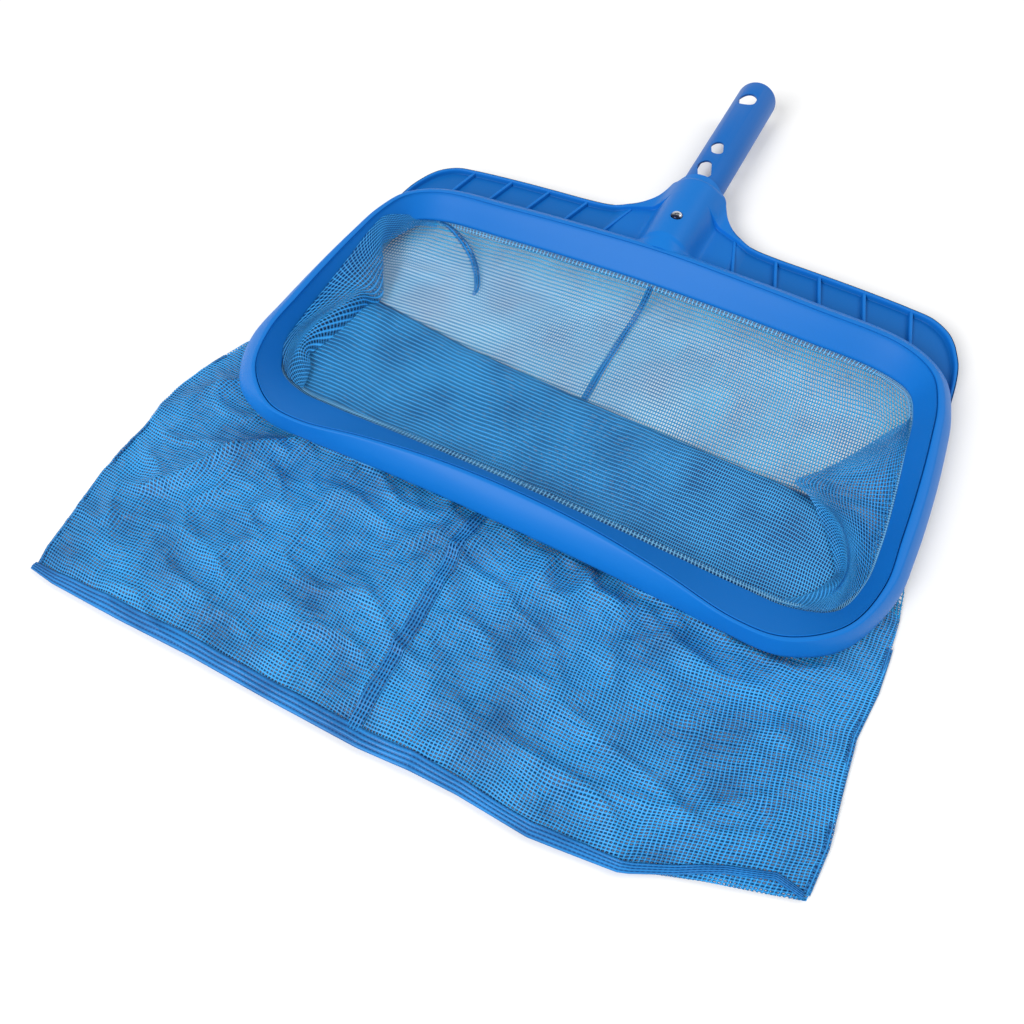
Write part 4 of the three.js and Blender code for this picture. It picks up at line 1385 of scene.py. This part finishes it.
# %% [markdown]
# Two gussets close the bag at the ends of the mouth. The left one leans in from the edge and folds
# over; the right one is drawn into a cone whose lower edge curls back to the front corner. Each is
# bent between three lines, its edge in the clamp, its middle and its free edge.
# %% Gussets
GUSSETS = {
    "left": ([(-168, 86, 13.5), (-179, 84, 15), (-189, 74, 21.5), (-196, 61, 28), (-198, 46, 28),
              (-199, 18, 25), (-200, -14, 22), (-200, -44, 20), (-198, -66, 19), (-192, -77, 16),
              (-183, -85, 14), (-168, -89, 13)],
             [(-167, 84, 12.5), (-179, 81, 14), (-188, 68, 17.5), (-192, 53, 23.5), (-191, 41, 22),
              (-189, 22, 19), (-186, 0, 17.5), (-184, -14, 17.5), (-189, -30, 17),
              (-192, -50, 16), (-189, -68, 14), (-171, -81, 11)],
             [(-166, 82, 11), (-179, 77, 12), (-186, 62, 13), (-188, 43, 18), (-183, 34, 14.5),
              (-178, 25, 11), (-169, 7, 5), (-172, -2, 8), (-175, -24, 9), (-180, -44, 10.5),
              (-184, -57, 11), (-176, -70, 9.5)]),
    "right": ([(190, 62, 13), (193, 45, 13), (196, 20, 13), (198, -10, 13), (199, -35, 13),
               (198, -58, 13), (192, -74, 13), (184, -85, 13), (170, -90, 13), (150, -91, 12.5)],
              [(189, 58, 12.5), (184, 41, 12), (178, 20, 11), (173, -2, 11), (172, -16, 11),
               (179, -32, 12), (186, -46, 11.5), (188, -60, 11), (184, -72, 10.5), (168, -82, 10)],
              [(187, 55, 12), (176, 38, 8.5), (165, 20, 6.5), (153, 3, 6.5), (143, -10, 8),
               (155, -18, 10), (167, -30, 10.5), (178, -44, 11), (184, -54, 10.5),
               (180, -66, 9.5)]),
}
FOLD_TALL = 3.0
CURL_OUT = 5.0
CURL_DOWN = 2.6


def gusset(word, s, t):
    """s runs along the gusset from rear to front, t from the clamped edge to the free one."""
    here = [sampled[word][k][int(round(s * GUSSET_STEPS))] for k in range(3)]
    middle = here[1]
    point = (here[0] * (1 - t) ** 2 + (middle * 2 - (here[0] + here[2]) / 2) * 2 * t * (1 - t)
             + here[2] * t ** 2)
    lower = min(max((s - 0.50) / 0.10, 0), 1) * min(max((1 - s) / 0.12, 0), 1)
    point[2] += FOLD_TALL * lower * math.exp(-((t - 0.70) / 0.16) ** 2)
    curl = max(0.0, (t - 0.8) / 0.2) * lower
    outwards = (here[0] - here[2])[:2] / np.linalg.norm((here[0] - here[2])[:2])
    point[:2] += outwards * CURL_OUT * curl ** 2
    point[2] -= CURL_DOWN * curl ** 1.5
    point[2] += 0.7 * noise.noise(Vector((s * 9, t * 5, len(word)))) * t * lower
    return tuple(point)


GUSSET_STEPS = 150
GUSSET_FLAT = {"left": lambda s, t: (t * 22 + s * 40, s * 176 - t * 14),
               "right": lambda s, t: (t * 48 + s * 46, s * 184 - t * 26)}
sampled = {word: [spline(line, GUSSET_STEPS + 1, False) for line in lines]
           for word, lines in GUSSETS.items()}
for word in ("left", "right"):
    def gusset_place(s, t, word=word):
        return gusset(word, s, t)
    piece = cloth(f"gusset_{word}", GUSSET_STEPS, 30, GUSSET_FLAT[word], gusset_place, [gusset_net])
    belongs(piece, "net_mesh", f"net_side_{word}")
    print(piece.name, round(area_of(piece), 4), "m2")

# %% [markdown]
# ## Seams and hems
# The halves of each panel are sewn with a narrow band, the free end is a rolled seam, and the edge
# that is clamped in the frame has a stitched hem. Cloth that lies in several layers is denser and
# shades itself, so bands and roll have darker colors of their own: denser cloth and painted shade.
# The hem's pale stitch tops are a painted highlight.
# %% Seams
FRONT_SEAM_SPAN = 470
BAND_COLUMNS = 6


def band(name, place, length, width, rows, material):
    """A narrow strip of cloth; place(aside, t) tells where a point beside its middle line lies."""
    return cloth(name, BAND_COLUMNS, rows, lambda s, t: (s * width, t * length),
                 lambda s, t: place((s - 0.5) * width, t), [material])


def back_seam(aside, t):
    """A point of the band in the rear net, from the rear edge to under the front panel."""
    share = 0.5 + (1 + aside + 3.5 * (1 - t)) / BAG_WIDTH
    x, y, z = long_panel(share, t * 0.36)
    return x, y, z + 0.9 + 0.8 * math.cos(aside / 4.4 * math.pi)


def front_seam(aside, t):
    """A point of the band on the bag in front, from under the lip to the rolled seam."""
    share = 0.5 + (aside + 0.5) / FRONT_SEAM_SPAN
    x, y, z = front_panel(share, 0.535 + t * 0.455)
    return x, y, z + 0.8 + 0.5 * math.cos(aside / 10 * math.pi)


seam = band("long_panel_seam", back_seam, 128, 5.4, 90, seam_net)
belongs(seam, "net_seam", "net_back_seam")
seam = band("front_panel_seam", front_seam, 160, 8.5, 100, seam_net)
belongs(seam, "net_seam", "net_front_seam")

# %% [markdown]
# At the free end both panels are rolled together and sewn, which leaves a flat roll with four low
# ridges. It could be a bent bar, but it has to rise and dip with the wrinkles beside it and swing
# inwards near its right end, so it is one more sheet, whose points ask the upper layer for its
# height.
# %% Rolled seam at the free end
ROLL_WIDTH = [(-247, 5), (-225, 7.5), (-190, 10), (20, 10), (60, 8), (120, 7), (160, 5), (221, 3.5)]
ROLL_SHIFT = [(-247, 0.5), (145, 0.5), (165, 3), (185, 7), (207, 8.5), (221, 2)]
ROLL_FLAT = 17.0
RIDGE_COUNT = 4
UNDER_SHARE = 0.22


def rolled(s, t):
    """s runs across the roll from below to its inner edge, t along it from left to right."""
    x = END_LEFT + END_RUN * t
    width = along_line(ROLL_WIDTH, x) * (1 + 0.10 * noise.noise(Vector((x / 30, 0, 2.0))))
    y_end = along_line(END_EDGE, x)
    y = y_end + along_line(ROLL_SHIFT, x) - 0.8
    under = max(0.0, (UNDER_SHARE - s) / UNDER_SHARE)
    over = max(0.0, (s - UNDER_SHARE) / 0.78)
    ridges = 0.35 * abs(math.sin(over * math.pi * RIDGE_COUNT)) if over else 0.0
    bulge = 0.7 * math.sin(math.pi * min(over * 1.1, 1))
    y += over * width + 3.2 * math.sin(under * math.pi / 2) * (1 if under > 0.5 else under * 1.2) - 1.2
    lift = lying_height(x, max(y, y_end), t, y_end) + 0.7
    return x, y, (lift + ridges + bulge) * (1 - under) + 0.5 * under


roll = cloth("rolled_seam", 36, 260, lambda s, t: (s * ROLL_FLAT, t * BAG_WIDTH), rolled,
             [roll_net])
belongs(roll, "net_seam", "net_bottom_hem")
print("rolled seam", round(area_of(roll), 4), "m2")

# %% [markdown]
# Along its sides the bag ends in doubled cloth. Two open edges lying on each other would show a gap,
# so a narrow strip goes round them, from the floor to the upper layer, and closes the bag.
# %% Folded side edges
FOLD_FLAT = 10.0
ROLL_GAP = 3


def fold_length(side):
    """Length of the side edge, from under the lip to just before the rolled seam."""
    end = END_LEFT + END_RUN if side > 0 else END_LEFT
    return LIP_Y - along_line(END_EDGE, end) - ROLL_GAP


def side_fold(side):
    """A narrow strip of doubled cloth round the side edge of the bag, from floor to top layer."""
    edge = RIGHT_EDGE if side > 0 else LEFT_EDGE
    length = fold_length(side)

    def place(s, t):
        y = LIP_Y - length * t
        share = 1.0 if side > 0 else 0.0
        run = TOP_SHARE + (1 - TOP_SHARE) * min(1.0, 0.02 + 0.98 * t)
        top = max(front_panel(share, run)[2], 2.4) + 0.35
        round_edge = 1 - abs(2 * s - 1) ** 2.0
        x = along_line(edge, y) + side * (3.6 * round_edge - 2.7)
        height = 0.5 + (top - 0.5) * (0.5 - 0.5 * math.cos(math.pi * min(max(1.15 * s - 0.08, 0), 1)))
        return x, y, height
    return place


for side, word in ((-1, "left"), (1, "right")):
    strip = cloth(f"side_fold_{word}", 10, 120,
                  lambda s, t: (s * FOLD_FLAT, t * fold_length(side)), side_fold(side), [seam_net])
    belongs(strip, "net_seam")
    print(strip.name, round(area_of(strip), 5), "m2")

# %% [markdown]
# The cloth is clamped under the funnel, and a line of its stitched hem shows all round the inner
# edge. The hem is a nearly flat sheet that follows the inner plan curve and reaches inwards; it gets
# narrower towards the rear, where less of it shows.
# %% Hem under the funnel
HEM_WIDE = 6.6
HEM_DRAWN_IN = 3.2
HEM_FLAT = 6.0
MOUTH_ROUND = 1120


def hem(s, t):
    """s runs down the hem, t round the mouth."""
    i = int(round(t * STATIONS)) % STATIONS
    a, g = inner[i], groove[i]
    away = (g - a)[:2] / np.linalg.norm((g - a)[:2])
    width = HEM_WIDE if a[1] < 0 else HEM_WIDE - HEM_DRAWN_IN * min(1.0, a[1] / 60)
    out = 1.0 - width * s
    return a[0] + away[0] * out, a[1] + away[1] * out, INNER_Z - 2.2 - 1.5 * s ** 1.5


hem_piece = cloth("mouth_hem", 5, STATIONS, lambda s, t: (s * HEM_FLAT, t * MOUTH_ROUND), hem,
                  [hem_net])
belongs(hem_piece, "net_seam", "net_mouth_hem")
